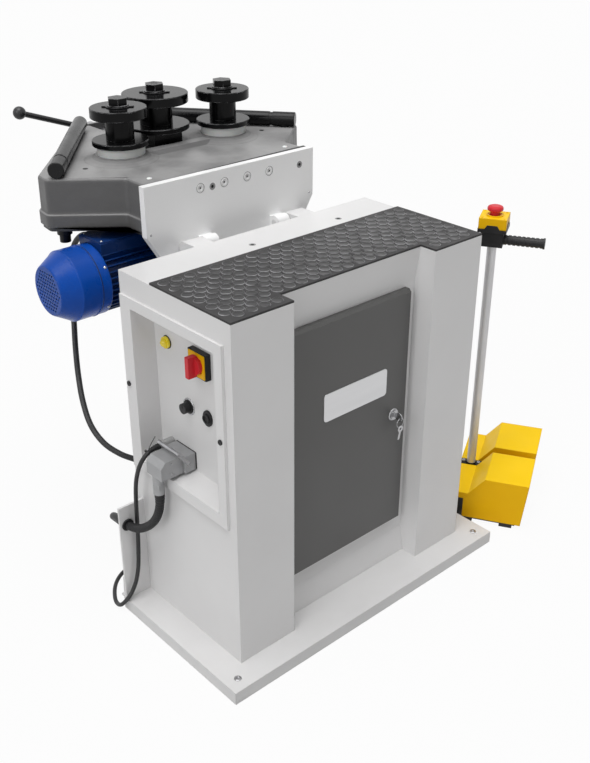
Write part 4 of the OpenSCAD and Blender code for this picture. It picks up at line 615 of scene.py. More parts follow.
def make_finishes(c):
    """All materials of the machine"""
    orange_peel = [(420.0, 0.00012), (60.0, 0.00018)]
    (Finish("cabinet_enamel", c.enamel, 0.36).patches(0.025, 4.0).dust_and_top_light(0.05)
     .edges(0.0025, (0.60, 0.59, 0.57), 0.4).sheen(0.07, 9.0).bumps(*orange_peel)
     .done(Specular_IOR_Level=0.45))
    # Head plate: a lighter copy of the cabinet enamel, painted light for the stronger light that falls on the
    # plate
    (Finish("plate_enamel_lit", [1.36 * k for k in c.enamel], 0.36).patches(0.025, 4.0)
     .edges(0.0025, (0.62, 0.61, 0.60), 0.4).sheen(0.07, 9.0).bumps(*orange_peel)
     .done(Specular_IOR_Level=0.45))
    (Finish("base_enamel", [0.9 * k for k in c.enamel], 0.42).patches(0.035, 5.0).dust_and_top_light(0.10)
     .edges(0.003, (0.50, 0.48, 0.45), 0.7).sheen(0.08, 12.0).bumps(*orange_peel)
     .done(Specular_IOR_Level=0.45))
    (Finish("door_enamel", c.door, 0.38).patches(0.05, 5.0).edges(0.0025, (0.30, 0.30, 0.29), 0.5)
     .sheen(0.06, 10.0).bumps((520.0, 0.00016), (70.0, 0.00014)).done())
    # Cast head: what faces up is painted much lighter than its dark sides, painted light with a little
    # dusting
    (Finish("cast_enamel", c.casting, 0.44).patches(0.09, 7.0).dust_and_top_light(0.95, (0.33, 0.327, 0.327), 0.15, 0.60)
     .edges(0.006, (0.26, 0.26, 0.26), 0.5).sheen(0.10, 18.0)
     .bumps((55.0, 0.0009), (240.0, 0.00035)).done(Specular_IOR_Level=0.3))
    (Finish("dark_sheet", (0.045, 0.046, 0.048), 0.5).patches(0.10, 8.0).dust_and_top_light(0.1)
     .edges(0.0012, (0.2, 0.2, 0.2), 0.6).sheen(0.1).bumps((180.0, 0.0001)).done())
    (Finish("mat_rubber", c.mat, 0.66).patches(0.16, 9.0).dust_and_top_light(0.06, (0.20, 0.19, 0.18))
     .edges(0.0008, (0.10, 0.10, 0.10), 0.6).sheen(0.10, 30.0).bumps((700.0, 0.00010))
     .done(Specular_IOR_Level=0.3))
    # The steep outer rims of the studs take a light tone: a painted highlight
    (Finish("stud_rubber", [0.8 * k for k in c.mat], 0.34).patches(0.20, 12.0)
     .slope_light_and_shade((0.34, 0.34, 0.35), 0.12, 0.95).edges(0.0006).sheen(0.06, 40.0).bumps((900.0, 0.00005))
     .done(Specular_IOR_Level=0.28))
    # The light tone on the edges of the rolls: partly scuffed steel, mostly a painted highlight along their
    # rims
    for side, middle in ROLLS.items():
        (Finish(f"{side}_roll_oxide", c.oxide, 0.17).patches(0.20, 22.0)
         .edges(0.0022, (0.80, 0.80, 0.82), 0.8).sheen(0.03, 18.0)
         .rings((*middle, 0.0), 260.0, 0.000004).done(Specular_IOR_Level=0.12))
    # Its light edge tone: partly scuffs, partly a painted highlight on the ends of the arms
    (Finish("bar_oxide", [1.6 * k for k in c.oxide], 0.26).patches(0.20, 16.0)
     .edges(0.0018, (0.22, 0.22, 0.225), 0.7).sheen(0.05, 20.0).bumps((120.0, 0.00002))
     .done(Specular_IOR_Level=0.22))
    (Finish("bar_steel", (0.040, 0.040, 0.042), 0.30, 0.25).patches(0.20, 16.0)
     .edges(0.0014, (0.12, 0.12, 0.12), 0.5).sheen(0.06, 20.0).bumps((120.0, 0.00003))
     .done(Specular_IOR_Level=0.3))
    (Finish("bright_steel", c.steel, 0.30, 1.0).patches(0.10, 20.0).edges(0.0008, (0.75, 0.75, 0.76), 0.6)
     .sheen(0.10, 30.0).bumps((300.0, 0.00006, (1.0, 1.0, 0.1))).done())
    (Finish("satin_alloy", c.alloy, 0.50, 0.45).patches(0.05, 10.0).edges(0.0008, (0.80, 0.80, 0.81), 0.6)
     .sheen(0.06, 24.0).bumps((900.0, 0.00005, (1.0, 1.0, 0.03))).done())
    (Finish("brushed_plate", c.alloy, 0.34, 0.75).patches(0.05, 14.0, (0.08, 1.0, 1.0))
     .edges(0.0008, (0.9, 0.9, 0.9), 0.7).sheen(0.10, 40.0, (0.05, 1.0, 1.0))
     .bumps((1600.0, 0.00004, (0.02, 1.0, 1.0))).done())
    (Finish("white_nylon", c.nylon, 0.40).patches(0.05, 18.0).edges(0.0012, (0.62, 0.62, 0.60), 0.4)
     .sheen(0.08, 26.0).bumps((260.0, 0.00010)).done(Subsurface_Weight=0.08))
    # Motor body, gearbox and terminal lid take a much darker copy of the motor blue, painted shade for the
    # shadow they lie in; the fan cover keeps nearly the blue itself
    for name, shade, ease in (("motor_enamel_shaded", (0.26, 0.38, 0.36), 0.0016),
                              ("cowl_enamel", (0.2, 0.98, 1.10), 0.005)):
        (Finish(name, [by * k for by, k in zip(shade, c.blue)], 0.30).patches(0.14, 10.0).dust_and_top_light(0.02)
         .edges(ease, (0.03, 0.13, 0.42), 0.5).sheen(0.08, 16.0)
         .bumps((90.0, 0.00035), (420.0, 0.00012)).done(Specular_IOR_Level=0.18))
    # The steep sides of the hoods and the stop box turn a deeper orange: painted shade
    (Finish("yellow_plastic", c.yellow, 0.40).patches(0.03, 6.0)
     .slope_light_and_shade((0.84, 0.42, 0.001), 0.60, 0.66, 0.5, 0.1).edges(0.0045, (0.97, 0.66, 0.014), 0.35)
     .sheen(0.07, 18.0).bumps((520.0, 0.00010)).done(Specular_IOR_Level=0.12))
    (Finish("red_plastic", c.red, 0.32).patches(0.06, 16.0).edges(0.0012, (0.76, 0.09, 0.09), 0.4)
     .sheen(0.06, 22.0).bumps((520.0, 0.00008)).done(Specular_IOR_Level=0.2))
    (Finish("lamp_lens", (1.0, 0.76, 0.012), 0.14).patches(0.08, 60.0).edges(0.0008, (1.0, 0.82, 0.06), 0.4)
     .sheen(0.04, 40.0).bumps((240.0, 0.0002)).done(Coat_Weight=0.4, Coat_Roughness=0.05))
    (Finish("black_plastic", c.black, 0.42).patches(0.18, 20.0).edges(0.0010, (0.06, 0.06, 0.062), 0.6)
     .sheen(0.08, 24.0).bumps((560.0, 0.00012)).done(Specular_IOR_Level=0.25))
    (Finish("grey_plastic", c.grey, 0.46).patches(0.06, 24.0).edges(0.0008, (0.48, 0.48, 0.48), 0.5)
     .sheen(0.06, 24.0).bumps((480.0, 0.00010)).done())
    (Finish("plug_alloy", c.plug, 0.42, 0.35).patches(0.07, 26.0).edges(0.0016, (0.6, 0.6, 0.6), 0.6)
     .sheen(0.10, 30.0).bumps((340.0, 0.00014)).done())
    (Finish("unit_grey", (0.30, 0.31, 0.33), 0.5).patches(0.08, 12.0).edges(0.0012, (0.45, 0.45, 0.45), 0.4)
     .sheen(0.08).bumps((320.0, 0.0001)).done())
    (Finish("cord_rubber", c.rubber, 0.50).patches(0.25, 30.0).sheen(0.10, 40.0)
     .bumps((420.0, 0.00014), (60.0, 0.0002)).done())
    (Finish("tie_nylon", c.black, 0.38).patches(0.15, 50.0).edges(0.0003, (0.06, 0.06, 0.06), 0.4)
     .sheen(0.06, 60.0).bumps((900.0, 0.00006)).done())
    # Near-black that paints the shade inside screw sockets, holes, slot mouths and the seam of the fan cover
    (Finish("recess_shade", (0.006, 0.006, 0.006), 0.7).patches(0.3, 60.0).sheen(0.1, 60.0)
     .bumps((700.0, 0.0001)).done())


# Which nodes carry which finish
NODE_FINISHES = {
    "cabinet_enamel": ["cabinet_shell", "control_tray", "hinge_blocks", "cable_guard"],
    "plate_enamel_lit": ["head_plate"],
    "base_enamel": ["base_plate"],
    "door_enamel": ["door_panel"],
    "cast_enamel": ["head_casting", "nut_bracket"],
    "dark_sheet": ["bottom_cover", "left_pedal", "right_pedal"],
    "mat_rubber": ["top_mat"],
    **{f"{side}_roll_oxide": [f"{side}_{part}" for part in ("shaft", "lower_flange", "hub", "upper_flange")]
       for side in ROLLS},
    "bar_oxide": ["press_carriage", "left_guide_arm", "right_guide_arm"],
    "bar_steel": ["tommy_bar"],
    "bright_steel": ["press_screw", "left_gear", "right_gear", "drive_pinion", "shaft_bearings", "lock_key",
                     "connector_lever"],
    "satin_alloy": ["station_post"],
    "white_nylon": ["nylon_collars"],
    "motor_enamel_shaded": ["gearbox", "motor_body"],
    "cowl_enamel": ["fan_cover"],
    "yellow_plastic": ["pedal_hoods", "estop_cover"],
    "red_plastic": ["estop_button", "isolator_handle"],
    "lamp_lens": ["pilot_lamp"],
    "black_plastic": ["isolator_base", "dial_knob", "mains_plug", "motor_fan", "pedal_base", "handle_block"],
    "grey_plastic": ["mains_gland"],
    "plug_alloy": ["connector_housing", "plug_hood"],
    "unit_grey": ["control_gear"],
    "cord_rubber": ["mains_cord", "mains_coil", "pedal_cord", "motor_cord"],
}


def curve_cord(name, route, diameter):
    """Round cord on one open spline through the points of its route"""
    data = bpy.data.curves.new(name, "CURVE")
    data.dimensions = "3D"
    data.resolution_u = 6
    data.bevel_depth = diameter / 2
    data.bevel_resolution = 4
    data.use_fill_caps = True
    spline = data.splines.new("BEZIER")
    spline.bezier_points.add(len(route) - 1)
    p = [Vector(q) for q in route]
    for i, point in enumerate(spline.bezier_points):
        way = (p[min(i + 1, len(p) - 1)] - p[max(i - 1, 0)]) / 6
        point.handle_left_type = point.handle_right_type = "FREE"
        point.co, point.handle_left, point.handle_right = p[i], p[i] - way, p[i] + way
    data.materials.append(FINISHES["cord_rubber"])
    return linked(name, data)


def path_length(points):
    """Length of the line through points"""
    return sum((Vector(b) - Vector(a)).length for a, b in zip(points, points[1:]))


def first_run(points, reach):
    """The first points of a path, up to a distance along it"""
    out, run = [Vector(points[0])], 0.0
    for a, b in zip(points, points[1:]):
        step = (Vector(b) - Vector(a)).length
        if run + step >= reach:
            out.append(Vector(a).lerp(Vector(b), (reach - run) / step))
            return out
        run += step
        out.append(Vector(b))
    return out


def even(points, count):
    """The same path at even distances"""
    total = path_length(points)
    return [first_run(points, total * k / count)[-1] if k else Vector(points[0]) for k in range(count + 1)]


def relief(points, reach, wide, narrow, ribs=5, groove=0.0009):
    """Tapered sleeve with ribs along the first part of a cord"""
    path = even(first_run(points, reach), 8 * ribs)

    def radius(t):
        taper = wide + (narrow - wide) * t
        grooved = math.sin(2 * math.pi * ribs * t) < -0.2 and t < 0.95
        return taper - groove if grooved else taper
    return tube(path, radius, 20)


def band(at, way, radius, width, thick=0.0012, lock=0.0045):
    """Cable tie round a cord, with the head that locks it"""
    ring = hoop([(radius, -width / 2), (radius + thick, -width / 2), (radius + thick, width / 2),
                 (radius, width / 2)], 28)
    head = block((radius, -width * 0.6, -width * 0.65), (radius + lock, width * 0.6, width * 0.65))
    return moved(merged(ring, head), at, way)


def coil_points(steps=24):
    """The wound length: inwards on the floor, then outwards on the layer above it"""
    x, y, z = COIL_MID
    turn = [(k, math.radians(360 * k / steps - 90)) for k in range(steps * COIL_TURNS + 1)]
    inner = [(COIL_R - COIL_STEP * k / steps, a, z) for k, a in turn]
    outer = [(COIL_R - COIL_STEP * (COIL_TURNS - k / steps), a, z + COIL_STEP * min(1.0, 2 * k / steps))
             for k, a in turn[1:]]
    wound = [(x + r * math.cos(a), y + r * math.sin(a), h) for r, a, h in inner + outer]
    return wound + [(x + COIL_STEP, y - COIL_R, z + COIL_STEP), (x + 3 * COIL_STEP, y - COIL_R, PLUG_R),
                    (x + 4 * COIL_STEP, y - COIL_R, PLUG_R)]


class BENDER_OT_stage(Operator):
    """Sets up the camera, the pale floor and the soft light"""
    bl_idname = "bender.stage"
    bl_label = "Stage"

    def execute(self, context):
        scene, s = context.scene, context.scene.bender_stage
        camera = scene.camera = linked("camera", bpy.data.cameras.new("camera"))
        camera.data.lens, camera.data.sensor_width, camera.data.sensor_fit = s.lens, SENSOR_MM, "AUTO"
        camera.data.clip_end = FAR_CLIP
        self.aim(camera, CAMERA_AT, CAMERA_TO)
        scene.view_settings.view_transform = "Standard"
        self.floor(s.floor / 2)
        self.world(scene, s.sky)
        for name, place, spread, power in (("key_light", (-3.9, -0.9, 2.2), 30.0, s.key),
                                           ("top_light", (-0.5, -0.3, 4.2), 50.0, s.top)):
            lamp = linked(name, bpy.data.lights.new(name, "SUN"))
            lamp.data.energy, lamp.data.angle = power, math.radians(spread)
            self.aim(lamp, place, (0, 0, 0))
        return {"FINISHED"}

    def aim(self, obj, place, target):
        """Puts a camera or a lamp at a place and points it at a target"""
        obj.location = place
        obj.rotation_euler = (Vector(target) - Vector(place)).to_track_quat("-Z", "Y").to_euler()

    def seen(self, tree):
        """One for what the camera sees, also in metal and through glass"""
        rays = add_node(tree, "ShaderNodeLightPath").outputs
        found = rays["Is Camera Ray"]
        for kind in ("Is Glossy Ray", "Is Transmission Ray"):
            found = add_node(
                tree, "ShaderNodeMath", {0: found, 1: rays[kind]}, operation="MAXIMUM").outputs["Value"]
        return found

    def mixed(self, tree, end, share, lights, shows):
        """One shader for the light that is thrown on, another for what is seen"""
        mix = add_node(tree, "ShaderNodeMixShader", {"Fac": share, 1: lights, 2: shows})
        add_node(tree, end, {"Surface": mix.outputs["Shader"]})

    def floor(self, half, low=-0.0002, white=0.94, tone=(0.62, 0.62, 0.62, 1.0)):
        """Floor a little below the feet: nearly white where it is seen, grey in the light it throws back"""
        mesh = bpy.data.meshes.new("floor")
        corners = [(half * x, half * y, low) for x, y in ((-1, -1), (1, -1), (1, 1), (-1, 1))]
        mesh.from_pydata(corners, [], [(0, 1, 2, 3)])
        floor = linked("floor", mesh)
        material = bpy.data.materials.new("studio_floor")
        material.use_nodes = True
        tree = material.node_tree
        tree.nodes.clear()
        share = add_node(tree, "ShaderNodeMath", {0: self.seen(tree), 1: white}, operation="MULTIPLY")
        grey = add_node(tree, "ShaderNodeBsdfDiffuse", {"Color": tone})
        glow = add_node(tree, "ShaderNodeEmission", {"Strength": 1.0})
        self.mixed(tree, "ShaderNodeOutputMaterial", share.outputs["Value"], grey.outputs["BSDF"],
                   glow.outputs["Emission"])
        mesh.materials.append(material)

    def world(self, scene, sky, white=(1.0, 1.0, 1.0, 1.0)):
        """White where it is seen, and an even light of its own strength"""
        world = scene.world = bpy.data.worlds.new("studio")
        world.use_nodes = True
        tree = world.node_tree
        tree.nodes.clear()
        lights, shows = (add_node(tree, "ShaderNodeBackground", {"Color": white, "Strength": power})
                         for power in (sky, 1.0))
        self.mixed(tree, "ShaderNodeOutputWorld", self.seen(tree), lights.outputs["Background"],
                   shows.outputs["Background"])


class BENDER_OT_finishes(Operator):
    """Makes the materials and gives each solid its finish"""
    bl_idname = "bender.finishes"
    bl_label = "Finishes"

    def execute(self, context):
        make_finishes(context.scene.bender_finishes)
        for finish, names in NODE_FINISHES.items():
            for name in names:
                obj = NODES[name]
                if not obj.material_slots:
                    obj.data.materials.append(FINISHES[finish])
                for slot in obj.material_slots:
                    slot.material = FINISHES[finish]
        left = set(NODES).difference(*NODE_FINISHES.values())
        if left:
            raise RuntimeError(f"no finish for {sorted(left)}")
        return {"FINISHED"}


class BENDER_OT_cords(Operator):
    """Lays the mains lead with its coil, the pedal lead and the motor lead"""
    bl_idname = "bender.cords"
    bl_label = "Cords"

    def execute(self, context):
        s = context.scene.bender_sizes
        self.mains(s)
        self.pedal_lead(s)
        self.motor_lead(s)
        return {"FINISHED"}

    def mains(self, s):
        """Lead from the tray to its coil and plug, with its sleeve, boot and ties"""
        route = MAINS_ROUTE + coil_points()
        path = smooth_points(route)
        cord = curve_cord("mains_lead", route, s.mains_d)
        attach(cord, "machine")
        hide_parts("mains_cord", "mains_coil")
        reach, wide, narrow = 0.030, 0.0085, 0.0062
        sleeve = solid("mains_relief", relief(path, reach, wide, narrow), "black_plastic")
        boot = solid("mains_plug_boot", relief(path[::-1], reach, wide, narrow), "black_plastic")
        *_, before, spot = first_run(path, reach + 0.004)
        tail = [spot + Vector(d) for d in ((-0.004, -0.008, 0.004), (-0.003, -0.011, 0.020),
                                           (0.004, -0.015, 0.036), (0.012, -0.018, 0.050))]
        hug = s.mains_d / 2 + 0.0003
        tie = solid("mains_tie", merged(band(spot, spot - before, hug, s.tie_w),
                                        tube(smooth_points(tail), 0.0011, 8)), "tie_nylon", bevel=0.0003)
        coil_ties = [solid(f"coil_tie_{k}", self.coil_tie(angle, hug, s.tie_w / 2), "tie_nylon")
                     for k, angle in ((1, 60), (2, 180), (3, 300))]

    def coil_tie(self, angle, hug, half, thick=0.0012, count=24):
        """Band round all strands of the coil at one angle, as close as they let it lie"""
        out = Vector((math.cos(math.radians(angle)), math.sin(math.radians(angle)), 0.0))
        side = Vector((-out.y, out.x, 0.0)) * half
        share = (angle + 90) % 360 / 360
        strands = [(COIL_R - COIL_STEP * turn, COIL_MID[2] + COIL_STEP * layer) for turn, layer in (
            (share, 0), (COIL_TURNS - 1 + share, 0), (1 - share, 1), (COIL_TURNS - share, 1))]
        points = []
        for reach, across in ((hug, -1), (hug, 1), (hug + thick, 1), (hug + thick, -1)):
            for x, z in circle(1.0, count):
                r, h = max(strands, key=lambda q: q[0] * x + q[1] * z)
                middle = Vector((*COIL_MID[:2], max(0.0002, h + reach * z)))
                points.append(middle + out * (r + reach * x) + side * across)
        return points, skin(4, count, closed=True)

    def pedal_lead(self, s):
        """Lead from the connector to the station, with its hose and the grommet of the guard"""
        path = smooth_points(LEAD_ROUTE)
        cord = curve_cord("pedal_lead", LEAD_ROUTE, s.lead_d)
        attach(cord, "machine")
        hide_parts("pedal_cord")
        reach, hose_run, hose_r, hose_ribs = 0.040, 0.166, 0.0111, 27
        top = solid("pedal_lead_relief", relief(path, reach, 0.0132, 0.0106), "black_plastic")
        covered = first_run(path, reach)
        bare = covered[-1:] + path[len(covered) - 1:]
        hose = solid("pedal_lead_hose", relief(bare, hose_run, hose_r, hose_r, hose_ribs), "black_plastic")
        foot = solid("pedal_lead_boot", relief(path[::-1], 0.045, 0.0105, 0.0103), "black_plastic")
        ring = hoop([(0.0102, -0.004), (0.0155, -0.004), (0.0165, -0.003), (0.0165, -0.0005),
                     (0.0128, -0.0003), (0.0128, 0.0063), (0.0165, 0.0065), (0.0165, 0.009),
                     (0.0155, 0.010), (0.0102, 0.010)], 36)
        guard_hole = (-0.453, 0.200, 0.266)
        solid("guard_grommet", moved(ring, guard_hole, BACK), "black_plastic")

    def motor_lead(self, s):
        """Lead from the motor to the cabinet, laid in one fixed shape, and its two glands"""
        path = smooth_points(MOTOR_ROUTE, 8)
        cord = solid("motor_lead", tube(path, s.motor_d / 2, 18), "cord_rubber", None)
        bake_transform(cord)
        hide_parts("motor_cord")
        neck = hoop([(0.0079, 0.006), (0.0112, 0.006), (0.0112, 0.012),
                     (0.0095, 0.0165), (0.0079, 0.0165)], 30)
        nut = merged(prism(circle(0.0135, 6), 0.0, 0.006, inset=0.0012), neck)
        terminal_box, cabinet_back = (-0.300, 0.484, 0.922), (-0.352, 0.2252, 0.391)
        solid("motor_gland", moved(nut, terminal_box, BACK), "black_plastic", "head")
        solid("cabinet_gland", moved(nut, cabinet_back, BACK), "black_plastic")


class BENDER_OT_mat(Operator):
    """Covers the mat with its rows of round studs"""
    bl_idname = "bender.mat"
    bl_label = "Mat studs"

    def execute(self, context):
        s = context.scene.bender_sizes
        low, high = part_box("top_mat")
        r, h = s.stud_d / 2, s.stud_rise
        stud = turned([(0, -0.0004), (r + 0.0004, -0.0004), (r, h * 0.3), (r - 0.0006, h * 0.8),
                       (r - 0.0016, h), (r - 0.0032, h * 0.92), (r - 0.0048, h * 0.62), (0, h * 0.55)], 18)
        edge = r + 0.0015
        middle = (low + high) / 2
        columns = int((high.x - low.x) / s.stud_pitch) + 2
        rows = int((high.y - low.y) / s.stud_row) + 1
        places = []
        for i in range(columns):
            for j in range(rows):
                x = middle.x + s.stud_pitch * (i - (columns - 1) / 2 + j % 2 / 2)
                y = middle.y + s.stud_row * (j - (rows - 1) / 2)
                inside = abs(x) <= high.x - edge and low.y + edge <= y <= high.y - edge
                if inside and not (abs(x) < NOTCH_HALF + edge and y < NOTCH_EDGE + edge):
                    places.append(((x, y, high.z), UP, 1.0))
        fasteners("mat_studs", stud, places, "stud_rubber")
        return {"FINISHED"}


class BENDER_OT_screws(Operator):
    """Sets the screws, bolts, pins and threaded inserts"""
    bl_idname = "bender.screws"
    bl_label = "Screws"

    def execute(self, context):
        cap_z, cap_r, bolt_z, bolt_r = 1.054, 0.0125, 1.051, 0.0092
        caps = [((x, PLATE_FRONT, cap_z), FRONT, cap_r) for x in (-0.105, -0.030, 0.0435, 0.117)]
        bolts = [((x, PLATE_FRONT, bolt_z), FRONT, bolt_r) for x in BOLT_X]
        # These stay within the half millimetre that the tilted plate keeps above the cabinet
        disc = hoop([(0.22, 0.0), (0.90, 0.0), (0.90, 0.012),
                     (0.86, 0.020), (0.24, 0.020), (0.22, 0.012)], 40)
        fasteners("plate_screws", disc, caps, "plate_enamel_lit", "head")
        seam = hoop([(0.90, 0.0), (1.0, 0.0), (1.0, 0.006), (0.90, 0.008)], 40)
        fasteners("plate_seams", seam, caps, "grey_plastic", "head")
        flush = hoop([(0.50, 0.0), (1.0, 0.0), (1.0, 0.006), (0.92, 0.015), (0.58, 0.015), (0.50, 0.008)], 36)
        fasteners("plate_bolts", flush, bolts, "grey_plastic", "head")
        # Dark hexagons that paint the shade inside the screw sockets and the holes of the inserts
        hole = prism(circle(1.0, 6), 0.0, 0.020, inset=0.012)
        fasteners("plate_sockets", hole, [
            (p, way, share * size) for share, group in ((0.21, caps), (0.50, bolts))
            for p, way, size in group], "recess_shade", "head")
        pin_z, pin_r = 0.968, 0.0032
        fasteners("plate_pins", rivet(0.08), [
            ((x, PLATE_FRONT, pin_z), FRONT, pin_r) for x in (-0.258, 0.258)], "bright_steel", "head")
        frame_face, frame_r = -0.408, 0.0065
        fasteners("frame_screws", cap_screw(0.55, 0.5, 0.4), [
            ((frame_face, y, z), LEFT, frame_r) for y, z in ((0.205, 0.656), (-0.147, 0.650))], "bar_oxide")
        level_z, level_r = 0.0335, 0.0086
        fasteners("levelling_screws", cap_screw(0.35, 0.55, 0.3), [
            ((x, y, level_z), UP, level_r) for x in (-0.439, 0.439) for y in (-0.219, 0.236)], "bright_steel")
        guard_y, guard_z, guard_r = 0.2155, 0.041, 0.0062
        fasteners("guard_bolts", hex_head(0.7), [
            ((x, guard_y, guard_z), UP, guard_r) for x in (-0.459, -0.418)], "bright_steel")
        insert_y, cabinet_top, insert_r = 0.1445, 0.940, 0.0088
        inserts = [((x, insert_y, cabinet_top), UP, insert_r) for x in BOLT_X]
        fasteners("top_inserts", flush, inserts, "grey_plastic")
        fasteners("insert_holes", hole, [(p, way, 0.62 * size) for p, way, size in inserts],
                  "recess_shade", "machine")
        return {"FINISHED"}


class BENDER_OT_panels(Operator):
    """Adds the service panel, the air slots and the screws of the bottom cover"""
    bl_idname = "bender.panels"
    bl_label = "Panels"

    def execute(self, context):
        side, wall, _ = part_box("cabinet_shell")[1]
        wide, high, mid = 0.50, 0.42, Vector((0.09, wall, 0.36))
        seal_t, face, margin, pitch = 0.0012, 0.0034, 0.016, 0.024
        # Black seal under the service panel; its black also paints the shadow line along the panel's edge
        seal = pad(wide - 0.006, high - 0.006, 0.006, 0.0, seal_t)
        solid("panel_seal", moved(seal, mid, BACK), "black_plastic")
        sheet = pad(wide, high, 0.008, seal_t, face, inset=0.0008)
        solid("service_panel", moved(sheet, mid, BACK), "cabinet_enamel")
        fasteners("panel_screws", pan_head(), [
            (mid + Vector((x * (wide / 2 - margin), face, z * (high / 2 - margin))), BACK, 0.0055)
            for x, z in ((-1, -1), (-1, 0), (-1, 1), (1, -1), (1, 0), (1, 1), (0, -1), (0, 1))],
            "bright_steel")
        hood, mouth = louvre(0.150, 0.013, 0.0065)
        rows = [(mid + Vector((x, face, 0.055 + pitch * k)), BACK, 1.0)
                for x in (-0.105, 0.105) for k in range(5)]
        fasteners("rear_louvres", hood, rows, "cabinet_enamel")
        fasteners("rear_louvre_mouths", mouth, rows, "recess_shade")
        hood, mouth = louvre(0.150, 0.013, 0.0065, upright=True)
        rows = [((side, y, z + pitch * k), RIGHT, 1.0) for y in (-0.070, 0.110) for z in (0.170, 0.700)
                for k in range(6)]
        fasteners("side_louvres", hood, rows, "cabinet_enamel")
        fasteners("side_louvre_mouths", mouth, rows, "recess_shade")
        edge = [(0.240, 0.335), (0.308, 0.448), (0.389, 0.548), (0.306, 0.640), (0.219, 0.740),
                (0.131, 0.840), (0.060, 0.893)]
        cover_low, cover_r = 0.957, 0.0062
        fasteners("cover_screws", cap_screw(0.75, 0.5, 0.5), [
            ((sign * x, y, cover_low), DOWN, cover_r) for x, y in edge for sign in (-1, 1)],
            "bright_steel", "head")
        return {"FINISHED"}


class BENDER_OT_gear(Operator):
    """Fits out the control gear behind the door"""
    bl_idname = "bender.gear"
    bl_label = "Control gear"

    def execute(self, context):
        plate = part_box("control_gear")[1].y
        pitch, deep, poles = 0.04875, 0.082, (-0.013, 0.0, 0.013)
        row = [pitch * k for k in range(-3, 4)]
        face = plate - deep
        cover = merged(pad(0.038, 0.052, 0.003, 0.0, 0.010, inset=0.0015),
                       pad(0.016, 0.012, 0.001, 0.010, 0.013, inset=0.0006))
        cover_z, terminal_z, terminal_r = 0.694, (0.656, 0.732), 0.0036
        fasteners("contactor_fronts", cover, [((x, face, cover_z), FRONT, 1.0) for x in row], "black_plastic")
        fasteners("terminal_screws", pan_head(), [
            ((x + d, face, z), FRONT, terminal_r) for x in row for d in poles for z in terminal_z],
            "bright_steel")
        wires = []
        for x in row:
            for d in poles:
                route = [(x + d, face - 0.001, 0.652), (x + d, face - 0.006, 0.646),
                         (x + d, face - 0.002, 0.638), (x + 0.8 * d, face + 0.018, 0.633),
                         (x + 0.8 * d, face + 0.042, 0.630)]
                wires.append(tube(smooth_points(route, 4), 0.0012, 8))
        solid("gear_wires", merged(*wires), "cord_rubber")
        drive = Vector((-0.0975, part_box("control_gear")[0].y, 0.473))
        keys = [moved(pad(0.012, 0.009, 0.002, 0.004, 0.0065, inset=0.0008), (x, -0.016, 0.0))
                for x in (-0.024, -0.008, 0.008, 0.024)]
        keypad = merged(pad(0.086, 0.064, 0.004, 0.0, 0.004, inset=0.001), *keys)
        solid("drive_keypad", moved(keypad, drive, FRONT), "black_plastic")
        screen = pad(0.060, 0.024, 0.002, 0.004, 0.0046, inset=0.0003)
        solid("drive_screen", moved(moved(screen, (0.0, 0.014, 0.0)), drive, FRONT), "unit_grey")
        hood, mouth = louvre(0.110, 0.008, 0.004)
        slots = [(drive + Vector((0.0, 0.0, z)), FRONT, 1.0)
                 for z in (-0.088, -0.074, -0.060, 0.060, 0.074, 0.088)]
        fasteners("drive_slots", hood, slots, "unit_grey")
        fasteners("drive_slot_mouths", mouth, slots, "recess_shade")
        coil = Vector((0.0936, plate - 0.1066, 0.432))
        windings = [moved(pad(0.030, 0.110, 0.008, 0.0, 0.012, inset=0.003), (x, 0.0, 0.0))
                    for x in (-0.040, 0.0, 0.040)]
        solid("transformer_windings", moved(merged(*windings), coil, FRONT), "black_plastic")
        fasteners("transformer_screws", hex_head(0.6), [
            (coil + Vector((x, 0.0, z)), FRONT, 0.0045) for x in (-0.056, 0.056) for z in (-0.060, 0.060)],
            "bright_steel")
        return {"FINISHED"}


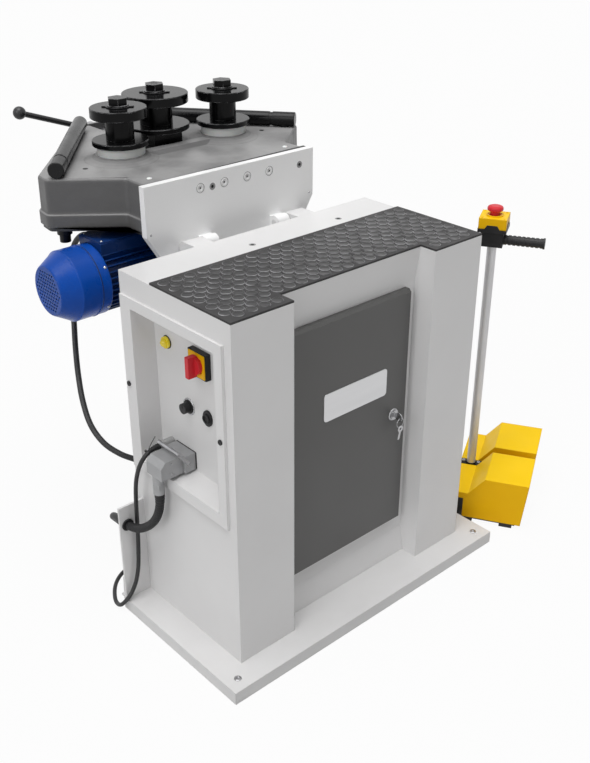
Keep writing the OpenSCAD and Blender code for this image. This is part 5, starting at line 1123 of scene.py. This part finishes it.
class BENDER_OT_controls(Operator):
    """Makes the plates, rings and sockets of the control tray"""
    bl_idname = "bender.controls"
    bl_label = "Controls"

    def execute(self, context):
        outline, hole = round_rect(0.060, 0.060, 0.004), 0.0228
        rim = [(hole * math.cos(a), hole * math.sin(a)) for a in (math.atan2(v, u) for u, v in outline)]
        plate = hollow(outline, rim, 0.0, 0.0012)
        solid("switch_plate", moved(plate, SWITCH, LEFT), "yellow_plastic")
        ring = hoop([(0.0175, 0.0), (0.0215, 0.0), (0.0215, 0.0016), (0.0205, 0.0026), (0.0180, 0.0026),
                     (0.0175, 0.0020)], 40)
        ticks = [moved(block((0.0181, -0.00025, 0.0026), (0.0203, 0.00025, 0.0029)), turn=math.radians(a))
                 for a in range(-135, 136, 27)]
        solid("dial_ring", moved(merged(ring, *ticks), DIAL, LEFT), "bright_steel")
        oval = [(0.0165 * u, 0.0205 * v) for u, v in circle(1.0, 36)]
        nose = hoop([(0.0085, 0.005), (0.0125, 0.005), (0.0125, 0.0085), (0.0115, 0.0095), (0.0092, 0.0095),
                     (0.0085, 0.0085)], 32)
        socket = merged(prism(oval, 0.0, 0.005, inset=0.0012), nose)
        solid("jack_socket", moved(socket, JACK, LEFT, math.pi / 2), "black_plastic")
        hole = turned([(0, 0.0052), (0.0082, 0.0052), (0.0082, 0.0060), (0.003, 0.0064), (0, 0.0056)], 24)
        solid("jack_hole", moved(hole, JACK, LEFT), "recess_shade")
        lamp = hoop([(0.0140, 0.0), (0.0164, 0.0), (0.0164, 0.0012), (0.0157, 0.0018), (0.0140, 0.0018)], 36)
        solid("lamp_seal", moved(lamp, LAMP, LEFT), "black_plastic")
        gasket = hollow(round_rect(0.080, 0.048, 0.004), round_rect(0.0762, 0.0462, 0.0025), 0.0, 0.0022)
        solid("connector_gasket", moved(gasket, CONNECTOR, LEFT, math.pi / 2), "black_plastic")
        fasteners("connector_screws", pan_head(), [
            (CONNECTOR + Vector((-0.034, u, v)), LEFT, 0.0026)
            for u in (-0.035, 0.035) for v in (-0.018, 0.018)],
            "bright_steel")
        fasteners("hood_screws", cap_screw(0.5, 0.5, 0.35), [
            (CONNECTOR + Vector((-0.066, -0.030, v)), FRONT, 0.003) for v in (-0.014, 0.014)], "bright_steel")
        return {"FINISHED"}


class BENDER_OT_door(Operator):
    """Fits the bare plate, the ring of the lock and the spare key to the door"""
    bl_idname = "bender.door"
    bl_label = "Door fittings"

    def execute(self, context):
        s = context.scene.bender_sizes
        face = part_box("door_panel")[0].y
        plate = pad(s.plate_w, s.plate_h, 0.009, 0.0, 0.0022, inset=0.0006)
        plate_x, plate_z = 0.012, 0.612
        solid("door_plate", moved(plate, (plate_x, face, plate_z), FRONT), "brushed_plate", "door")
        ring = hoop([(0.0131, 0.0), (0.0170, 0.0), (0.0170, 0.0015), (0.0155, 0.0030), (0.0131, 0.0030)], 36)
        solid("lock_ring", moved(ring, (LOCK_X, face, LOCK_Z), FRONT), "bright_steel", "door")
        self.spare_key()
        return {"FINISHED"}

    def spare_key(self):
        """Ring through the bow of the key in the lock, with a second key that hangs from it"""
        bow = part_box("lock_key")[0].y + 0.006
        ring_r = 0.0125
        mid = Vector((LOCK_X, bow, LOCK_Z - ring_r - 0.002))
        loop = [mid + Vector((u, 0.0, v)) for u, v in circle(ring_r, 32)]
        parts = [tube(loop + loop[:1], 0.0008, 8)]
        foot = mid + Vector((0.003, 0.0, -ring_r))
        hang = Matrix.Translation(foot) @ Matrix.Rotation(math.radians(12), 4, "Y")
        bow_ring = hoop([(0.0035, -0.0009), (0.0095, -0.0009), (0.0095, 0.0009), (0.0035, 0.0009)], 28)
        bow_ring = moved(bow_ring, (0.0, 0.0, -0.0060), BACK)
        step, half = 0.0042, 0.0008
        blade = block((-0.0032, -half, -0.036), (0.0032, half, -0.0135))
        teeth = [block((0.0030, -half, -0.019 - step * k),
                       (0.0041 + 0.0005 * (k % 2), half, -0.0165 - step * k)) for k in range(4)]
        spare = merged(bow_ring, blade, *teeth)
        parts.append(([hang @ p for p in spare[0]], spare[1]))
        solid("spare_key", merged(*parts), "bright_steel", "lock")


class BENDER_OT_head(Operator):
    """Adds the plugs, bolts, shaft ends and key rings of the head"""
    bl_idname = "bender.head"
    bl_label = "Head fittings"

    def execute(self, context):
        plug = turned([(0, 0), (1.0, 0), (0.98, 0.25), (0.8, 0.42), (0.3, 0.48), (0, 0.48)], 24)
        plug_y, plug_low, hole_r = 0.347, CASTING_TOP - 0.0004, 0.0068
        fasteners("casting_plugs", plug, [
            ((x, plug_y, plug_low), UP, hole_r) for x in (-0.217, 0.217)], "white_nylon", "head")
        thread_y = 0.524
        fasteners("casting_threads", cap_screw(0.06, 0.6, 0.05), [
            ((x, thread_y, CASTING_TOP), UP, hole_r) for x in (-0.286, 0.286)], "bar_oxide", "head")
        bracket_back, bracket_z, bracket_r = 0.930, 1.059, 0.008
        fasteners("bracket_bolts", cap_screw(0.8, 0.5, 0.5), [
            ((x, bracket_back, bracket_z), BACK, bracket_r) for x in (-0.058, 0.058)], "bar_oxide", "head")
        end = turned([(0, -0.3), (0.55, -0.12), (0.9, 0.0), (1.0, -0.08), (1.0, -0.4), (0, -0.4)], 24)
        shaft_top, shaft_r, ring_low, ring_turn = 1.2420, 0.0098, 1.2188, math.radians(-42)
        for side, (x, y) in ROLLS.items():
            nut_body, lift = ("carriage", 0.0003) if side == "press" else (f"roll_{side}", 0.0)
            fasteners(f"{side}_shaft_end", end, [((x, y, shaft_top + lift), UP, shaft_r)],
                      "bar_steel", nut_body)
            solid(f"{side}_key_ring", moved(self.key_ring(), (x, y, ring_low), turn=ring_turn),
                  "bar_oxide", f"roll_{side}", bevel=0.0006)
        # Thin black band along the top of the plate's joint with the casting: painted shadow of the gap
        # between them
        shadow_strip = [(-0.075, 0.3151), (0.262, 0.3151), (0.262, 0.3245), (-0.075, 0.3158)]
        solid("plate_joint", prism(shadow_strip, 1.0876, 1.0889, inset=0.0003), "black_plastic", "head")
        return {"FINISHED"}

    def key_ring(self):
        """Ring with two lugs that locks a roll to its shaft"""
        inner, outer, lug, half, high = 0.0273, 0.0310, 0.0405, 0.0085, 0.0030
        reach = math.asin(half / lug)
        outside = []
        for a in angles(72):
            near = min(a, abs(a - math.pi), 2 * math.pi - a)
            r = lug if near < reach else outer
            outside.append((r * math.cos(a), r * math.sin(a)))
        return hollow(outside, circle(inner, 72), 0.0, high)


class BENDER_OT_motor(Operator):
    """Adds the terminal lid, the lip and seam of the fan cover, and their screws"""
    bl_idname = "bender.motor"
    bl_label = "Motor fittings"

    def execute(self, context):
        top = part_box("motor_body")[1].z
        lid_t, cowl_r = 0.004, 0.0893
        box = Vector((-0.281, MOTOR_Y, top))
        lid = pad(0.126, 0.096, 0.007, 0.0, lid_t, inset=0.0012)
        solid("terminal_lid", moved(lid, box), "motor_enamel_shaded", "head")
        fasteners("lid_screws", pan_head(), [
            (box + Vector((u, v, lid_t)), UP, 0.0038) for u in (-0.056, 0.056) for v in (-0.040, 0.040)],
            "bright_steel", "head")
        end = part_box("fan_cover")[0].x
        lip = hoop([(0.0896, 0.0), (0.0910, 0.0), (0.0914, 0.0008), (0.0914, 0.0028), (0.0896, 0.0034)], 72)
        solid("cowl_lip", moved(lip, (end + 0.096, MOTOR_Y, MOTOR_Z), RIGHT), "cowl_enamel", "head")
        seam = hoop([(0.0896, 0.0), (0.0904, 0.0), (0.0904, 0.0016), (0.0896, 0.0016)], 72)
        solid("cowl_seam", moved(seam, (end + 0.0996, MOTOR_Y, MOTOR_Z), RIGHT),
              "recess_shade", "head")
        ways = [Vector((0, math.cos(a), math.sin(a))) for a in map(math.radians, (35, 145, 215, 325))]
        middle = Vector((-0.353, MOTOR_Y, MOTOR_Z))
        fasteners("cowl_screws", pan_head(), [(middle + cowl_r * way, way, 0.0042) for way in ways],
                  "bright_steel", "head")
        return {"FINISHED"}


class BENDER_OT_station(Operator):
    """Adds the fittings of the pedal station"""
    bl_idname = "bender.station"
    bl_label = "Station fittings"

    def execute(self, context):
        self.stop_box()
        self.clamp()
        long, wide, high = 0.038, 0.0154, 0.0139
        feet = [block((u, v, 0.0), (u + long, v + wide, high))
                for v in (-0.1760, 0.1606) for u in (0.0, 0.118)]
        solid("hood_feet", moved(merged(*feet), STATION, turn=STATION_TURN), "black_plastic", bevel=0.0015)
        low, high, thick = 0.0145, 0.078, 0.0016
        panels = [block((-0.032, v, low), (0.007, v + thick, high)) for v in (-0.1781, 0.1765)]
        solid("hood_panels", moved(merged(*panels), STATION, turn=STATION_TURN),
              "black_plastic", bevel=0.0005)
        return {"FINISHED"}

    def stop_box(self):
        """Collar, caps, seat and side tabs of the stop box"""
        low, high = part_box("handle_block")[1].z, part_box("estop_cover")[1].z
        collar = hoop([(0.0136, 0.0), (0.0240, 0.0), (0.0240, 0.0014), (0.0228, 0.0026), (0.0185, 0.0026),
                       (0.0175, 0.0018), (0.0150, 0.0018), (0.0136, 0.0012)], 44)
        solid("stop_collar", moved(collar, STATION + Vector((0, 0, high))), "yellow_plastic")
        fasteners("stop_box_caps", pan_head(), [
            (STATION + GRIP * u + SIDE * v + Vector((0, 0, high)), UP, 0.0034)
            for u in (-0.030, 0.030) for v in (-0.030, 0.030)], "yellow_plastic")
        tabs, half, thick = [], 0.038, 0.0014
        for across, out in ((SIDE, GRIP), (GRIP, -SIDE), (-SIDE, -GRIP), (-GRIP, SIDE)):
            outline = [(-half, -0.010), (half, -0.010), (half, 0.0), (0.021, 0.0), (0.014, 0.011),
                       (-0.014, 0.011), (-0.021, 0.0), (-half, 0.0)]
            points = [STATION + across * p + out * (half + d) + Vector((0, 0, low + h))
                      for d in (0.0, thick) for p, h in outline]
            tabs.append((points, lids(2, len(outline)) + skin(2, len(outline))))
        solid("stop_tabs", merged(*tabs), "black_plastic")
        seat = hollow(round_rect(2 * half, 2 * half, 0.004),
                      round_rect(0.0624, 0.0624, 0.001), -0.010, -0.0002)
        solid("stop_seat", moved(seat, STATION + Vector((0, 0, low)), turn=STATION_TURN), "black_plastic",
              bevel=0.0008)

    def clamp(self):
        """Clamp that holds the post between the hoods"""
        low, high, half = 0.084, 0.0985, 0.0140
        ring = hoop([(0.0132, low), (0.0148, low), (0.0148, 0.1000), (0.0142, 0.1010), (0.0132, 0.1010)], 40)
        bars = [prism([(a, -half), (b, -half), (b, half), (a, half)], low, high, inset=0.001)
                for a, b in ((-0.031, -0.0146), (0.0146, 0.031))]
        solid("post_clamp", moved(merged(ring, *bars), STATION, turn=STATION_TURN), "bar_oxide")
        fasteners("clamp_screws", cap_screw(0.8, 0.5, 0.5), [
            (STATION + GRIP * u + Vector((0, 0, high - 0.0002)), UP, 0.0052) for u in (-0.023, 0.023)],
            "bright_steel")


PIECES = [BENDER_OT_stage, BENDER_OT_finishes, BENDER_OT_cords, BENDER_OT_mat, BENDER_OT_screws,
          BENDER_OT_panels, BENDER_OT_gear, BENDER_OT_controls, BENDER_OT_door, BENDER_OT_head,
          BENDER_OT_motor, BENDER_OT_station]


class BENDER_PT_panel(Panel):
    """Lists the steps that dress the machine"""
    bl_idname = "BENDER_PT_panel"
    bl_label = "Angle Roll Bender"
    bl_space_type = "VIEW_3D"
    bl_region_type = "UI"
    bl_category = "Bender"

    def draw(self, context):
        for piece in PIECES:
            self.layout.operator(piece.bl_idname)
        for group in (context.scene.bender_finishes, context.scene.bender_sizes, context.scene.bender_stage):
            box = self.layout.box()
            for key in group.__annotations__:
                box.prop(group, key)


GROUPS = {"bender_finishes": BenderFinishes, "bender_sizes": BenderSizes, "bender_stage": BenderStage}


def register():
    for cls in (*GROUPS.values(), *PIECES, BENDER_PT_panel):
        bpy.utils.register_class(cls)
    for key, cls in GROUPS.items():
        setattr(bpy.types.Scene, key, PointerProperty(type=cls))


def unregister():
    for key in GROUPS:
        delattr(bpy.types.Scene, key)
    for cls in reversed((*GROUPS.values(), *PIECES, BENDER_PT_panel)):
        bpy.utils.unregister_class(cls)


def main():
    register()
    for piece in PIECES:
        group, name = piece.bl_idname.split(".")
        getattr(getattr(bpy.ops, group), name)()


if __name__ == "__main__":
    main()
